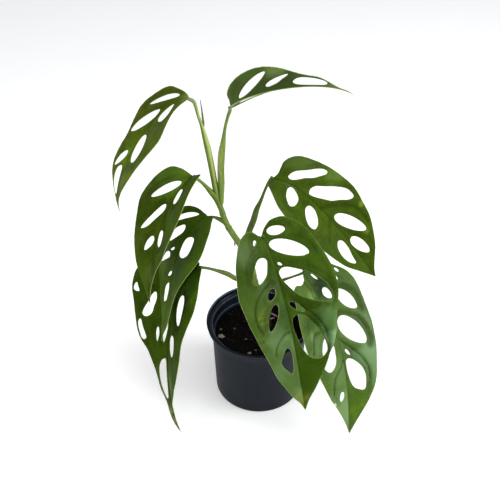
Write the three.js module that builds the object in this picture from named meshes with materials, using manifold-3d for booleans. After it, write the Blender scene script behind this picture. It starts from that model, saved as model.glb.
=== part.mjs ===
// A young monstera adansonii in a nursery pot. Millimetres, +Z up, origin at the centre of the pot's base.
import * as THREE from "three";
import { mergeVertices } from "three/addons/utils/BufferGeometryUtils.js";
import { TessellateModifier } from "three/addons/modifiers/TessellateModifier.js";
import Module from "manifold-3d";

// Driving dimensions
const POT_HEIGHT = 102; // base to top of rim
const RIM_RADIUS = 60; // outside of the rolled rim
const LIP_RADIUS = 59; // outside of the lip band under the rim
const LIP_BOTTOM = 95; // height at which the lip band starts
const WALL_TOP_RADIUS = 54; // outside of the wall just under the lip
const WALL_LOW_RADIUS = 51; // outside of the wall above the rounded foot
const FOOT_ROUND = 3; // height of the rounded foot
const WALL = 1.2; // plastic thickness
const FLOOR = 1.6; // thickness of the pot's floor
const LEDGE = 84; // height of the small ledge inside the wall
const DRAIN_RADIUS = 4.5; // drain holes in the floor
const DRAIN_CIRCLE = 32; // radius of the circle they lie on
const DRAINS = 8;
const ROUND_STEPS = 48; // facets round the pot and the soil
const SOIL_TOP = 82; // height of the soil at the wall
const SOIL_DOME = 1.6; // how much higher the soil is in the middle
const GAP = 0.3; // clearance that keeps neighbouring solids apart
const BLADE = 0.8; // leaf blade thickness
const BLADE_EDGE = 26; // longest edge of a blade facet
const STEM_SIDES = 12;
const STALK_SIDES = 8;

const wasm = await Module();
wasm.setup();
const v3 = (p) => new THREE.Vector3(...p);

// Colours and finishes
const finish = (color, roughness, metalness = 0) =>
  new THREE.MeshStandardMaterial({ color, roughness, metalness });
const POT_PLASTIC = finish("#202327", 0.42);
const SOIL_MIX = finish("#1d1714", 0.95);
const BARK = finish("#8a6f60", 0.9);
const PERLITE = finish("#cfcac2", 0.9);
const STEM_GREEN = finish("#7f9a45", 0.5);
const STALK_GREEN = finish("#93ad52", 0.45);
const BLADE_GREEN = finish("#3f6324", 0.42);
const ROOT_TAN = finish("#a5765a", 0.8);

// The two halves of each blade are drawn flat, tip down, in [s, t]: s runs from the stalk to the tip and t is
// the distance from the midrib. Holes are [inner s, inner t, outer s, outer t, width], or a list of points.
const LEAVES = {
  // lowest on the right, its top behind leaf_front
  leaf_lower_right: {
    midrib: [[47, -10, 179], [89, -43, 126], [95, -67, 102], [98, -108, 32.5]],
    face: [[0.69, -0.21, 0.69], [0.3, -0.83, 0.47]],
    fold: 13, droop: 1.1,
    left: [[2, 5], [6, 11], [6.5, 22], [2.5, 33], [6, 45], [19, 52], [34, 56], [50, 57], [66, 56],
      [80, 53], [98, 45], [116, 38], [130, 31], [145, 23], [160, 13], [174, 5]],
    right: [[-9, 6], [-14, 17], [-8, 32], [2, 40], [11, 43], [19, 50], [28, 56], [38, 58], [50, 56],
      [64, 52], [80, 49.5], [96, 45], [112, 40.5], [126, 37.5], [138, 33], [150, 25], [162, 16], [173, 8]],
    leftHoles: [[72, 17, 91, 30, 9], [[86, 10], [93, 10.8], [101.5, 11.8], [107.8, 14.8], [111.5, 19.8],
      [111.5, 24.5], [108.5, 28.4], [104.5, 30.5], [97, 28], [92, 22.5], [87, 16.5], [84.5, 12.5]],
      [138, 7, 148, 11, 5]],
    rightHoles: [[6, 8, 15, 12.5, 4.5], [18, 42, 22, 46, 5], [23, 36, 28, 38, 5], [26, 10, 39, 15, 11],
      [37, 24, 60, 41, 18], [62, 9, 93, 34, 22], [94, 5, 101, 10, 4], [[106, 3], [104.5, 7], [106, 11],
      [110, 16], [115.5, 20.5], [121, 23], [126, 24], [133, 23.3], [138.5, 21.5], [140, 18], [138, 12],
      [135.5, 8], [130, 5], [122, 3], [114, 2.3]]],
  },
  // in front of the pot, facing forward
  leaf_front: {
    midrib: [[1, -56, 264], [28, -89, 219], [33, -119, 172], [45.5, -138, 107.5]],
    face: [[0.41, -0.61, 0.68], [0.44, -0.84, 0.32]],
    fold: 18, droop: 0.8,
    left: [[-3, 4], [-8, 8], [-10, 15], [-7, 26], [0, 35], [14, 45], [30, 51], [45, 55], [61, 53],
      [79, 49], [98, 43], [116, 36], [134, 29], [148, 21], [162, 13], [173, 5]],
    right: [[-4, 3], [-8, 8], [-11, 14], [-11, 21], [-9, 28], [-4, 33], [4, 40], [14, 45], [28, 50],
      [41, 54], [55, 56], [71, 55], [91, 48], [110, 42], [122, 37.5], [134, 31], [148, 22.5],
      [161, 14], [173, 5.5]],
    leftHoles: [[0, 10, 5, 14, 3], [[20, 19], [22, 21.5], [26, 25.5], [31, 30], [36, 33], [39, 32.5],
      [40.5, 29], [41, 25.5], [39.5, 20.5], [36, 14], [31, 10.5], [24, 7], [20.5, 7.5], [18.7, 10.5],
      [18.3, 15]], [51, 9, 59, 20, 8], [66, 12, 88, 27, 10], [[117, 5], [127, 5], [135, 6], [138, 9],
      [133, 14], [127, 19], [121, 21], [116, 17], [112, 12], [112, 8]]],
    rightHoles: [[-2, 6.5, 2, 24, 9], [9, 3.5, 30, 37, 14], [29, 4, 32, 8, 3], [[69, 3.5], [68.5, 6],
      [70.5, 10], [74, 13.5], [78, 16.5], [80, 17.5], [80.5, 15], [78, 10], [75.5, 7], [72, 4]], [[37, 3],
      [44, 3], [53, 7], [63, 14], [71, 25], [76, 37], [78, 46], [70, 49], [59, 44], [49, 34], [41, 22],
      [35, 10]], [[83, 6], [86, 3], [95, 2.5], [106, 4.5], [118, 8], [127, 14], [130, 24], [125, 32],
      [116, 32], [109.5, 30.5], [100.5, 27], [92, 21.5], [85.5, 17.3], [83.5, 14], [82, 9.5]]],
  },
  // lowest on the left, hanging almost to the ground
  leaf_lower_left: {
    midrib: [[-65, -16, 194], [-108, -28, 151], [-107, -71, 54], [-89, -87, 9]],
    face: [[-0.54, -0.33, 0.77], [-0.9, -0.42, 0.08]],
    fold: 18, droop: 0.5,
    left: [[-3, 2], [-1, 7], [3, 13], [8, 20], [14, 26], [21, 32], [27, 40], [31, 51], [36, 61],
      [42, 67], [50, 68], [58, 66], [70, 60], [84, 55], [97, 49], [107, 42], [116, 32], [129, 24],
      [142, 19], [153, 16], [161, 12], [167, 9], [174, 8], [181, 8], [188, 8], [195, 7], [201, 4]],
    right: [[-3, 5], [-1, 14], [6, 28], [15, 41], [30, 49], [44, 50], [58, 48], [75, 46], [92, 47],
      [109, 47], [125, 43], [143, 33], [157, 22], [168, 11], [177, 3], [187, 2], [198, 1.3]],
    leftHoles: [[[19, 18], [20, 22], [25, 25], [33, 25], [43, 23], [53, 20], [58, 16], [56, 11],
      [49, 9], [40, 11], [32, 13], [25, 14]], [[53, 60], [56, 57], [59, 54], [60.5, 57], [60, 61],
      [57, 62]], [[51, 31], [52, 28], [57, 26], [64, 27], [72, 28], [77, 32], [80, 39], [79, 44],
      [74, 43], [68, 40], [62, 37], [56, 35]], [[85, 46], [86, 44], [91, 41], [97, 37], [102, 35],
      [105, 38], [103, 42], [99, 44], [93, 47], [88, 48]], [84, 17, 101, 18, 6], [72, 6, 99, 8, 7],
      [[117, 3], [128, 2], [142, 2], [155, 2.5], [164, 4], [165, 6], [157, 9], [147, 12], [136, 13],
      [127, 12], [119, 8]]],
    rightHoles: [[35, 9, 66, 23, 16], [83, 12, 107, 16, 12]],
  },
  // middle left, between the other two left leaves
  leaf_middle_left: {
    midrib: [[-55, 3, 245], [-94, -16, 231], [-90, -40, 181], [-105, -62, 129]],
    face: [[-0.41, -0.02, 0.91], [-0.95, -0.15, 0.28]],
    fold: 9, droop: 1.3,
    left: [[-1, 3], [0, 9], [1, 17], [4, 26], [9, 35], [17, 42], [26, 44], [34, 43], [41, 41], [48, 38],
      [56, 37], [65, 37], [75, 36], [84, 33], [98, 26], [112, 18], [126, 10], [138, 4]],
    right: [[-4, 4], [-4, 10], [1, 19], [8, 31], [18, 43], [29, 50], [40, 52], [52, 49], [62, 44],
      [72, 38], [82, 31], [92, 25], [103, 20], [114, 18], [124, 15], [134, 8], [142, 3]],
    leftHoles: [[5, 10, 27, 36, 8], [[22, 14], [23, 9], [28, 7], [33, 10], [38, 15], [43, 22], [41, 25],
      [36, 26], [30, 24], [26, 20]], [[46, 11], [48, 9], [50, 11], [50, 14], [48, 14]], [[53, 18],
      [54, 14], [57, 12], [60, 16], [64, 23], [67, 30], [64, 30], [60, 28], [55, 24]], [[70, 5],
      [70.5, 2.5], [73, 2.5], [76, 6], [76, 9], [73, 9]], [[83, 4], [89, 2.5], [97, 3], [102, 4],
      [105, 8], [102, 11], [96, 11.5], [90, 11], [85, 8]]],
    rightHoles: [[[27, 11], [27, 18], [32, 24], [40, 27], [46, 25], [50, 18], [50, 10], [47, 5],
      [41, 3], [35, 3], [30, 5]]],
  },
  // upper right, its lower half behind leaf_front
  leaf_upper_right: {
    midrib: [[12, 27, 276], [49, 14, 280], [89, -19, 231], [121, -29, 190]],
    face: [[0.1, 0.01, 1], [0.21, -0.89, 0.4]],
    fold: 15, droop: 0.9,
    left: [[0, 6], [2, 18], [7, 28], [16, 39], [26, 46], [37, 48], [49, 47], [64, 43], [78, 38],
      [95, 31], [109, 26], [123, 20], [135, 12], [146, 5]],
    right: [[2, 3], [4, 8], [4, 17], [4, 26], [8, 35], [14, 40], [22, 41], [32, 42], [44, 43],
      [58, 43], [70, 42], [84, 38], [99, 34], [113, 27], [126, 19], [137, 10], [146, 4]],
    leftHoles: [[[22, 7], [25, 4], [32, 8], [37, 13], [39, 20], [39, 27], [37, 31], [34, 32], [27, 25],
      [23, 15]], [[49, 12], [51, 8], [57, 8], [64, 12], [69, 17], [71, 22], [70, 26], [64, 28],
      [56, 25], [50, 18]], [[98, 12], [98, 8], [102, 5], [111, 5], [120, 7], [127, 8], [126, 11],
      [120, 15], [112, 17], [103, 16]]],
    rightHoles: [[[41, 37], [42, 33], [39, 27], [35, 20], [29, 14], [23, 7], [18, 5], [15, 7], [15, 11],
      [18, 18], [26, 26], [32, 33], [37, 37]], [[74, 35], [75, 32], [73, 27], [68, 21], [63, 14],
      [56, 9], [49, 5], [43, 3], [41, 5], [40, 9], [42, 15], [49, 22], [56, 29], [64, 35], [69, 36]],
      [76, 5, 107, 22, 13], [104, 4, 127, 10, 11]],
  },
  // upper left of the three that hang one over the other
  leaf_left: {
    midrib: [[-66, -2, 298], [-89, -15, 290], [-115, -43, 229], [-112, -66, 186]],
    face: [[-0.58, -0.07, 0.81], [-0.78, -0.56, 0.27]],
    fold: 18, droop: 1,
    left: [[1, 4], [2, 11], [4, 21], [8, 31], [16, 37], [26, 41], [38, 43], [48, 43], [60, 39],
      [72, 35], [84, 31], [96, 25], [108, 18], [120, 10], [131, 4]],
    right: [[-4, 5], [-4, 14], [1, 23], [10, 34], [22, 43], [36, 47], [50, 44], [64, 40], [78, 34],
      [92, 27], [104, 18], [116, 11], [128, 5]],
    leftHoles: [[13, 4, 40, 29, 10], [[39, 6], [42, 4], [48, 5], [56, 10], [65, 16], [70, 22], [71, 26],
      [65, 24], [56, 19], [47, 14], [41, 10]], [73, 5, 89, 12, 8]],
    rightHoles: [[18, 5, 33, 14, 12], [63, 6, 79, 12, 10]],
  },
  // top right, held level with its folded side towards the front
  leaf_top_right: {
    midrib: [[-29, 7, 370], [-6, 30, 375], [58, 29, 388], [89, 25, 373]],
    face: [[-0.68, 0.57, 0.46], [0.2, 0.57, 0.8]],
    fold: 18, droop: 1,
    left: [[-1, 4], [-2, 9], [-4, 14], [-5, 20], [-2, 27], [2, 30], [8, 34], [19, 39], [30, 42],
      [41, 41], [52, 37], [60, 32], [69, 26], [78, 22], [87, 19], [96, 12], [108, 4], [117, 2]],
    right: [[1, 4], [4, 12], [9, 22], [16, 31], [26, 37], [40, 38], [52, 33], [64, 28], [76, 25],
      [88, 20], [98, 14], [108, 8], [116, 4]],
    leftHoles: [[11, 4, 37, 33, 12], [[59, 25], [58, 21], [54, 16], [49, 10], [42, 7], [39, 8],
      [38, 11], [40, 15], [45, 19], [52, 23], [56, 25]], [[64, 9], [69, 5], [79, 3], [88, 3], [94, 4],
      [96, 7], [94, 11], [88, 14], [81, 16], [72, 17], [66, 14]]],
    rightHoles: [[14, 6, 38, 28, 11], [40, 7, 60, 22, 8], [66, 6, 90, 13, 7]],
  },
  // top left, the highest stalk
  leaf_top_left: {
    midrib: [[-67, 5, 380], [-91.5, 20, 373], [-149.5, -9, 310.3], [-140, -20, 267]],
    face: [[-0.46, 0.05, 0.88], [-0.9, -0.43, -0.05]],
    fold: 9, droop: 1.5,
    left: [[3, 4], [8, 11], [15, 22], [21, 33], [27, 38], [34, 40], [44, 42], [52, 41], [59, 36],
      [67, 31], [76, 27], [86, 27], [96, 27], [105, 26], [113, 22], [120, 15], [129, 7], [138, 3]],
    right: [[0, 5], [2, 14], [6, 26], [14, 38], [25, 47], [36, 51], [46, 50], [60, 46], [75, 40],
      [87, 34], [100, 28], [112, 21], [123, 13], [134, 6]],
    leftHoles: [[12, 7, 42, 29, 8], [[34, 7], [36, 4], [42, 3], [53, 6], [65, 14], [70, 21], [69, 24],
      [60, 23], [49, 18], [39, 12]], [85, 6, 105, 20, 8], [[100, 6], [103, 3], [113, 2], [126, 2],
      [129, 4], [127, 7], [120, 11], [111, 13], [104, 11]]],
    rightHoles: [[[16, 4], [16, 12], [19, 20], [25, 23], [32, 22], [36, 17], [37, 10], [33, 5], [27, 3],
      [21, 2.5]], [[57, 11], [58, 17], [64, 23], [73, 25], [82, 23], [87, 18], [86, 11], [81, 6],
      [73, 3], [65, 3], [60, 6]]],
  },
};

// Stalks: the blade that each carries, the points of its centreline up to just short of the blade, and its
// radius at the foot, along its sheath and at the blade
const STALKS = {
  stalk_lower_right: { blade: "leaf_lower_right", radii: [2.6, 2, 1.2],
    path: [[0, 7, 129], [13, 1, 148], [24, -3, 162], [35, -7, 171], [42, -9, 176]] },
  stalk_front: { blade: "leaf_front", radii: [2.8, 2.6, 1.3],
    path: [[-10, 5, 178], [-8, -16, 205], [-5, -35, 233], [-3, -48, 251]] },
  stalk_lower_left: { blade: "leaf_lower_left", radii: [2.8, 2.6, 1.5],
    path: [[-6, 7, 151], [-14, 4, 156], [-25, -1, 163], [-34, -5, 173], [-44, -9, 181],
      [-54, -13, 188], [-61, -15, 191]] },
  stalk_middle_left: { blade: "leaf_middle_left", radii: [2, 2.2, 1.3],
    path: [[-32, 3, 229], [-36.5, 2, 237], [-42.5, 2, 242], [-48.5, 3, 244], [-53, 3, 243.8]] },
  stalk_upper_right: { blade: "leaf_upper_right", radii: [3.6, 3.3, 1.5],
    path: [[-14, 4, 187], [-15.5, 6, 199], [-13.8, 10, 209], [-10.5, 13, 220], [-6.5, 15, 231],
      [-3.5, 18, 242], [1, 20, 253], [4.5, 23, 262], [8, 25, 270]] },
  stalk_top_right: { blade: "leaf_top_right", radii: [3, 3.4, 1.5],
    path: [[-40, 3, 262], [-39, 3, 284], [-39, 4, 301], [-38, 4, 318], [-36, 5, 334], [-34, 6, 348],
      [-31, 7, 360], [-29, 7, 366]] },
  stalk_left: { blade: "leaf_left", radii: [2.9, 2.9, 1.6],
    path: [[-38, 3, 247], [-41, 1, 259], [-45, 1, 269], [-50, 0, 278], [-56, -1, 287], [-62, -2, 294]] },
  stalk_top_left: { blade: "leaf_top_left", radii: [2.9, 3, 1.5],
    path: [[-43, 3, 266], [-45, 2, 280], [-47, 3, 295], [-51, 3, 324], [-56, 4, 350], [-59, 4, 361],
      [-61, 5, 370], [-63, 5, 376]] },
};
const STEM_PATH = [[11, 9, 68], [11, 9, 84], [3, 8, 116], [-4, 7, 147], [-10, 6, 179], [-20, 5, 204],
  [-28, 4, 220], [-35, 3, 236], [-40, 3, 254], [-41, 3, 264]];
const STEM_RADII = [4.3, 4.2, 4, 3.8, 3.7, 3.6, 3.4, 3.3, 3.1, 2.6];
const STEM_JOINTS = [129, 153, 178, 190, 230, 248]; // heights of the joint rings on the stem
// The rolled young leaf beside the top left stalk
const SPEAR_PATH = [[-54, 4, 350], [-55, 4, 362], [-56.5, 4, 378]];
const ROOT_PATHS = {
  root_a: [[10, 10, 92], [12.5, 14, 88.2], [15.5, 17, 86.4], [18.5, 19.5, 85.4]],
  root_b: [[10, 9, 103], [14, 12, 99], [19, 16.5, 91.5], [23.5, 20.5, 84.7]],
};
const ROOT_NUBS = {
  root_nub_a: [[-26, 3, 214], [-26.5, -1, 209]],
  root_nub_b: [[-22, 3, 207], [-23, -1, 202]],
};
// Pieces lying on the soil: [x, y, half size, squash]
const CRUMBS = {
  perlite_a: [-44, 2, 1.5, 0.9], perlite_b: [-28, 2, 1.3, 0.8], perlite_c: [-15, -15, 1.3, 0.7],
  perlite_d: [-4, -32, 1.3, 0.8], bark_a: [-43.5, -10, 2.9, 0.7], bark_b: [-11, -37, 1.8, 0.7],
  bark_c: [44, -18, 3.4, 0.6],
};

// A closed geometry as a manifold solid, and back
function solidOf(geometry) {
  const bare = geometry.clone();
  for (const name of Object.keys(bare.attributes)) if (name !== "position") bare.deleteAttribute(name);
  const merged = mergeVertices(bare, 1e-3);
  return new wasm.Manifold(new wasm.Mesh({
    numProp: 3,
    vertProperties: new Float32Array(merged.attributes.position.array),
    triVerts: new Uint32Array(merged.index.array),
  }));
}
function geometryOf(solid) {
  const mesh = solid.getMesh();
  return new THREE.BufferGeometry()
    .setAttribute("position", new THREE.BufferAttribute(mesh.vertProperties, 3))
    .setIndex(new THREE.BufferAttribute(mesh.triVerts, 1));
}

// Moves every vertex of a geometry by a function of its coordinates
function mapped(geometry, where) {
  const position = geometry.attributes.position;
  for (let i = 0; i < position.count; i++) {
    const p = where(position.getX(i), position.getY(i), position.getZ(i));
    position.setXYZ(i, p.x, p.y, p.z);
  }
  return geometry;
}

// The surface of a blade: s along the curved midrib, t across it, z out of the upper face
function bladeSurface({ midrib, face, fold, droop }) {
  const curve = new THREE.CubicBezierCurve3(...midrib.map(v3));
  const length = curve.getLength();
  const [base, tip] = face.map(v3);
  const angle = THREE.MathUtils.degToRad(fold);
  return { length, at(t, s, z) {
    const u = THREE.MathUtils.clamp(s / length, 0, 1);
    const along = curve.getTangentAt(u);
    const out = base.clone().lerp(tip, u);
    out.addScaledVector(along, -out.dot(along)).normalize();
    const across = out.clone().cross(along);
    const wide = Math.abs(t);
    return curve.getPointAt(u)
      .addScaledVector(along, s - u * length)
      .addScaledVector(across, t * Math.cos(angle))
      .addScaledVector(out, wide * Math.sin(angle) - (droop * wide * wide) / 1000 + z);
  } };
}

const flat = (s, t, side) => new THREE.Vector2(side * t, -s);

// The rim of a hole that runs from near the midrib towards the margin, a little fuller at its inner end
function holeRim([s0, t0, s1, t1, wide], side) {
  const middle = flat((s0 + s1) / 2, (t0 + t1) / 2, side);
  const axis = flat(s1 - s0, t1 - t0, side);
  const long = axis.length();
  axis.normalize();
  const cross = new THREE.Vector2(-axis.y, axis.x);
  const steps = long > 12 ? 10 : 6;
  return Array.from({ length: steps }, (_, i) => {
    const turn = (2 * Math.PI * i) / steps;
    const full = 1 - 0.14 * Math.cos(turn);
    return middle.clone()
      .addScaledVector(axis, (long / 2) * Math.cos(turn))
      .addScaledVector(cross, (wide / 2) * full * Math.sin(turn));
  });
}

// The rim of a hole that is drawn by its points
const drawnRim = (hole, side) =>
  new THREE.SplineCurve([...hole, hole[0]].map(([s, t]) => flat(s, t, side))).getPoints(14).slice(0, -1);

// One half of a blade as a flat slab, open along the midrib where the other half joins it
function halfBlade(margin, holes, side, length, thick) {
  const points = [flat(0, 0, side), ...margin.map(([s, t]) => flat(s, t, side)), flat(length, 0, side)];
  const edge = new THREE.SplineCurve(points).getSpacedPoints(Math.round(length / 8));
  edge.forEach((p) => { p.x = side * Math.max(0, side * p.x); });
  const ribSteps = 12;
  const rib = Array.from({ length: ribSteps - 1 }, (_, i) =>
    flat(length * (1 - (i + 1) / ribSteps), 0, side));
  const shape = new THREE.Shape([...edge, ...rib]);
  for (const hole of holes) {
    const rim = Array.isArray(hole[0]) ? drawnRim(hole, side) : holeRim(hole, side);
    shape.holes.push(new THREE.Path(THREE.ShapeUtils.isClockWise(rim) ? rim.reverse() : rim));
  }
  const slab = new THREE.ExtrudeGeometry(shape, { depth: thick, bevelEnabled: false, steps: 1 });
  slab.deleteAttribute("normal");
  slab.deleteAttribute("uv");
  const fine = new TessellateModifier(BLADE_EDGE, 12).modify(slab);
  const from = fine.attributes.position.array;
  const kept = [];
  for (let i = 0; i < from.length; i += 9)
    if (Math.abs(from[i]) + Math.abs(from[i + 3]) + Math.abs(from[i + 6]) > 1e-6)
      kept.push(...from.slice(i, i + 9));
  return kept;
}

function bladeSolid(leaf, thick = BLADE) {
  const surface = bladeSurface(leaf);
  const facets = [
    ...halfBlade(leaf.left, leaf.leftHoles, -1, surface.length, thick),
    ...halfBlade(leaf.right, leaf.rightHoles, 1, surface.length, thick),
  ];
  const geometry = new THREE.BufferGeometry()
    .setAttribute("position", new THREE.Float32BufferAttribute(facets, 3));
  return solidOf(mapped(geometry, (t, down, z) => surface.at(t, -down, z - thick / 2)));
}

// A round stalk along a smooth path, turned as a lathe profile and then bent to it; its radius is
// radiusAt(share, height)
function stalkSolid(path, radiusAt, sides, steps) {
  const curve = new THREE.CatmullRomCurve3(path.map(v3), false, "centripetal");
  const length = curve.getLength();
  const profile = [new THREE.Vector2(0, 0)];
  for (let i = 0; i <= steps; i++) {
    const share = i / steps;
    const radius = radiusAt(share, curve.getPointAt(share).z);
    const inset = i === 0 ? 0.4 * radius : i === steps ? -0.4 * radius : 0;
    profile.push(new THREE.Vector2(radius * (inset ? 0.9 : 1), share * length + inset));
  }
  profile.push(new THREE.Vector2(0, length));
  return solidOf(mapped(new THREE.LatheGeometry(profile, sides), (x, y, z) => {
    const u = THREE.MathUtils.clamp(y / length, 0, 1);
    const along = curve.getTangentAt(u);
    const back = new THREE.Vector3(0, 1, 0).addScaledVector(along, -along.y).normalize();
    const across = along.clone().cross(back);
    return curve.getPointAt(u).addScaledVector(across, x).addScaledVector(back, z);
  }));
}
const lerp = THREE.MathUtils.lerp;
// A path made longer at both ends by a little more than the gap
function longer(path) {
  const beyond = (end, next) => v3(end).add(v3(end).sub(v3(next)).setLength(1.5 * GAP)).toArray();
  return [beyond(path[0], path[1]), ...path.slice(1, -1), beyond(path.at(-1), path.at(-2))];
}
// A stalk keeps the width of its sheath to the middle, narrows, and swells a little where it meets the blade
const sheathed = ([foot, sheath, end]) => (share) => {
  const wide = lerp(foot, sheath, THREE.MathUtils.smoothstep(share, 0, 0.25));
  return lerp(wide, end, THREE.MathUtils.smoothstep(share, 0.5, 0.82)) + (share > 0.9 ? 0.4 : 0);
};
function stemRadius(share, height) {
  const place = share * (STEM_RADII.length - 1);
  const i = Math.min(Math.floor(place), STEM_RADII.length - 2);
  const ring = STEM_JOINTS.reduce((most, z) => Math.max(most, Math.exp(-Math.pow((height - z) / 3, 2))), 0);
  return lerp(STEM_RADII[i], STEM_RADII[i + 1], place - i) + 0.5 * ring;
}

const plant = new THREE.Group();
function add(name, solid, material) {
  const mesh = new THREE.Mesh(geometryOf(solid), material);
  mesh.name = name;
  plant.add(mesh);
  return solid;
}

// Pot: one turned wall with a rolled rim, a lip band and a ledge inside, then the drain holes
const potProfile = [
  [0, 0], [WALL_LOW_RADIUS - 2.4, 0], [WALL_LOW_RADIUS - 0.7, 0.7], [WALL_LOW_RADIUS, FOOT_ROUND],
  [WALL_TOP_RADIUS, LIP_BOTTOM - 0.6], [LIP_RADIUS - 0.4, LIP_BOTTOM], [LIP_RADIUS, LIP_BOTTOM + 0.8],
  [LIP_RADIUS, POT_HEIGHT - 2.2],
  [RIM_RADIUS, POT_HEIGHT - 1.2], [RIM_RADIUS - 0.4, POT_HEIGHT - 0.2], [RIM_RADIUS - 1.3, POT_HEIGHT],
  [RIM_RADIUS - 2.3, POT_HEIGHT - 0.5], [LIP_RADIUS - WALL - 0.3, POT_HEIGHT - 2.2],
  [LIP_RADIUS - WALL - 0.5, LIP_BOTTOM + 2], [WALL_TOP_RADIUS - WALL, LIP_BOTTOM + 0.8],
  [WALL_TOP_RADIUS - WALL - 0.5, LEDGE + 1], [WALL_TOP_RADIUS - WALL - 1.4, LEDGE],
  [WALL_LOW_RADIUS - WALL, FOOT_ROUND], [WALL_LOW_RADIUS - WALL - 1, FLOOR], [0, FLOOR],
].map(([x, y]) => new THREE.Vector2(x, y));
const upright = (geometry) => geometry.rotateX(Math.PI / 2);
let pot = solidOf(upright(new THREE.LatheGeometry(potProfile, ROUND_STEPS)));
for (let i = 0; i < DRAINS; i++) {
  const turn = (2 * Math.PI * (i + 0.5)) / DRAINS;
  pot = pot.subtract(solidOf(upright(new THREE.CylinderGeometry(DRAIN_RADIUS, DRAIN_RADIUS, 3 * FLOOR, 12))
    .translate(DRAIN_CIRCLE * Math.cos(turn), DRAIN_CIRCLE * Math.sin(turn), FLOOR / 2)));
}
add("pot", pot, POT_PLASTIC);

// Stem, with a bare copy that is a little wider to cut its neighbours clear of it
const stem = stalkSolid(STEM_PATH, stemRadius, STEM_SIDES, 36);
const widerStem = (share, height) => stemRadius(share, height) + GAP + 0.08;
const stemRoom = stalkSolid(longer(STEM_PATH), widerStem, STEM_SIDES, 36);
add("stem", stem, STEM_GREEN);

// Soil, lumpy on top and pierced by the stem
const soilTop = (x, y) => {
  const r = Math.hypot(x, y);
  const lumps = Math.sin(x / 5.1 + 0.6) * Math.cos(y / 4.3) + 0.7 * Math.sin((x + 2 * y) / 7.3);
  const inward = THREE.MathUtils.clamp((50 - r) / 8, 0, 1);
  return SOIL_TOP + SOIL_DOME * (1 - (r * r) / 2600) + 0.6 * lumps * inward;
};
const insideRadius = (z) =>
  lerp(WALL_LOW_RADIUS - WALL, WALL_TOP_RADIUS - WALL - 1.4, (z - FOOT_ROUND) / (LEDGE - FOOT_ROUND));
const soilProfile = [
  [0, FLOOR + GAP], [WALL_LOW_RADIUS - WALL - 2, FLOOR + GAP],
  [insideRadius(FOOT_ROUND) - 2 * GAP, FOOT_ROUND + 0.5], [insideRadius(80) - GAP, 80],
  [50, SOIL_TOP], [40, SOIL_TOP], [30, SOIL_TOP], [20, SOIL_TOP], [10, SOIL_TOP], [0, SOIL_TOP],
].map(([x, y]) => new THREE.Vector2(x, y));
const soilShape = mapped(upright(new THREE.LatheGeometry(soilProfile, ROUND_STEPS)), (x, y, z) =>
  new THREE.Vector3(x, y, z > SOIL_TOP - 0.01 && Math.hypot(x, y) < 49.9 ? soilTop(x, y) : z));
add("soil", solidOf(soilShape).subtract(stemRoom), SOIL_MIX);

for (const [name, [x, y, size, squash]] of Object.entries(CRUMBS)) {
  const lump = new THREE.IcosahedronGeometry(size, 0);
  lump.rotateX(x).rotateZ(y).scale(1.2, 0.9, squash).translate(x, y, soilTop(x, y) + size * squash + 0.25);
  add(name, solidOf(lump), name.startsWith("bark") ? BARK : PERLITE);
}

for (const [name, leaf] of Object.entries(LEAVES)) add(name, bladeSolid(leaf), BLADE_GREEN);

// Each stalk ends against the underside of its blade at the base of the midrib, and is cut clear of the
// blade, of the stem and of the stalks before it, whose feet it clasps
const rooms = [stemRoom];
const clearOfRooms = (solid) => rooms.reduce((left, room) => left.subtract(room), solid)
  .decompose().sort((a, b) => b.volume() - a.volume())[0];
for (const [name, { blade, path, radii }] of Object.entries(STALKS)) {
  const radius = sheathed(radii);
  const leaf = LEAVES[blade];
  const whole = [...path, bladeSurface(leaf).at(0, 2, -BLADE / 2).toArray()];
  const stalk = stalkSolid(whole, radius, STALK_SIDES, 12).subtract(bladeSolid(leaf, BLADE + 2 * GAP));
  add(name, clearOfRooms(stalk), STALK_GREEN);
  rooms.push(stalkSolid(longer(whole), (share) => radius(share) + GAP + 0.05, STALK_SIDES, 12));
}
const spearRadius = (share) => lerp(1.3, 0.35, share);
add("spear", clearOfRooms(stalkSolid(SPEAR_PATH, spearRadius, 6, 5)), STALK_GREEN);

for (const [name, path] of Object.entries(ROOT_PATHS))
  add(name, stalkSolid(path, (share) => lerp(1.3, 0.7, share), 6, 5).subtract(stemRoom), ROOT_TAN);
for (const [name, path] of Object.entries(ROOT_NUBS))
  add(name, stalkSolid(path, (share) => lerp(1.5, 0.6, share), 6, 2).subtract(stemRoom), ROOT_TAN);

export default plant;
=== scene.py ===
"""A young monstera adansonii in a nursery pot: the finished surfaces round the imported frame. Metres, +Z up.

Paths, outlines and radii are written in millimetres and become metres where a mesh is made. A line is
written as its points: "x,y,z x,y,z" in the frame, and "s,t s,t" on a blade that is drawn flat.
"""
import bisect
import math
import random

import bmesh
import bpy
from mathutils import Matrix, Vector, noise
from mathutils.kdtree import KDTree


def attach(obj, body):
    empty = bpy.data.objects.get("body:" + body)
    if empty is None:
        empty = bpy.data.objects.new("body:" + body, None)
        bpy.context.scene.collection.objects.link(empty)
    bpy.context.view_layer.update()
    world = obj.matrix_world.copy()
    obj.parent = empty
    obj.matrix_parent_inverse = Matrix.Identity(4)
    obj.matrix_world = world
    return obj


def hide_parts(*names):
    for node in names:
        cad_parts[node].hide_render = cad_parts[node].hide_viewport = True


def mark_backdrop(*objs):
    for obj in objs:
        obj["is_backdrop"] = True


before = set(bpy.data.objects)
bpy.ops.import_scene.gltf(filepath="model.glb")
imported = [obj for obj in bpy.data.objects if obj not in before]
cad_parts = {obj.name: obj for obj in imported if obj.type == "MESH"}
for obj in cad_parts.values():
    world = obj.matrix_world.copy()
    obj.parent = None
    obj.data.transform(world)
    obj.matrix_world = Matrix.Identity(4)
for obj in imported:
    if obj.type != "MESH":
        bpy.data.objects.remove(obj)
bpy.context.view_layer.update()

MM = 0.001

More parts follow.
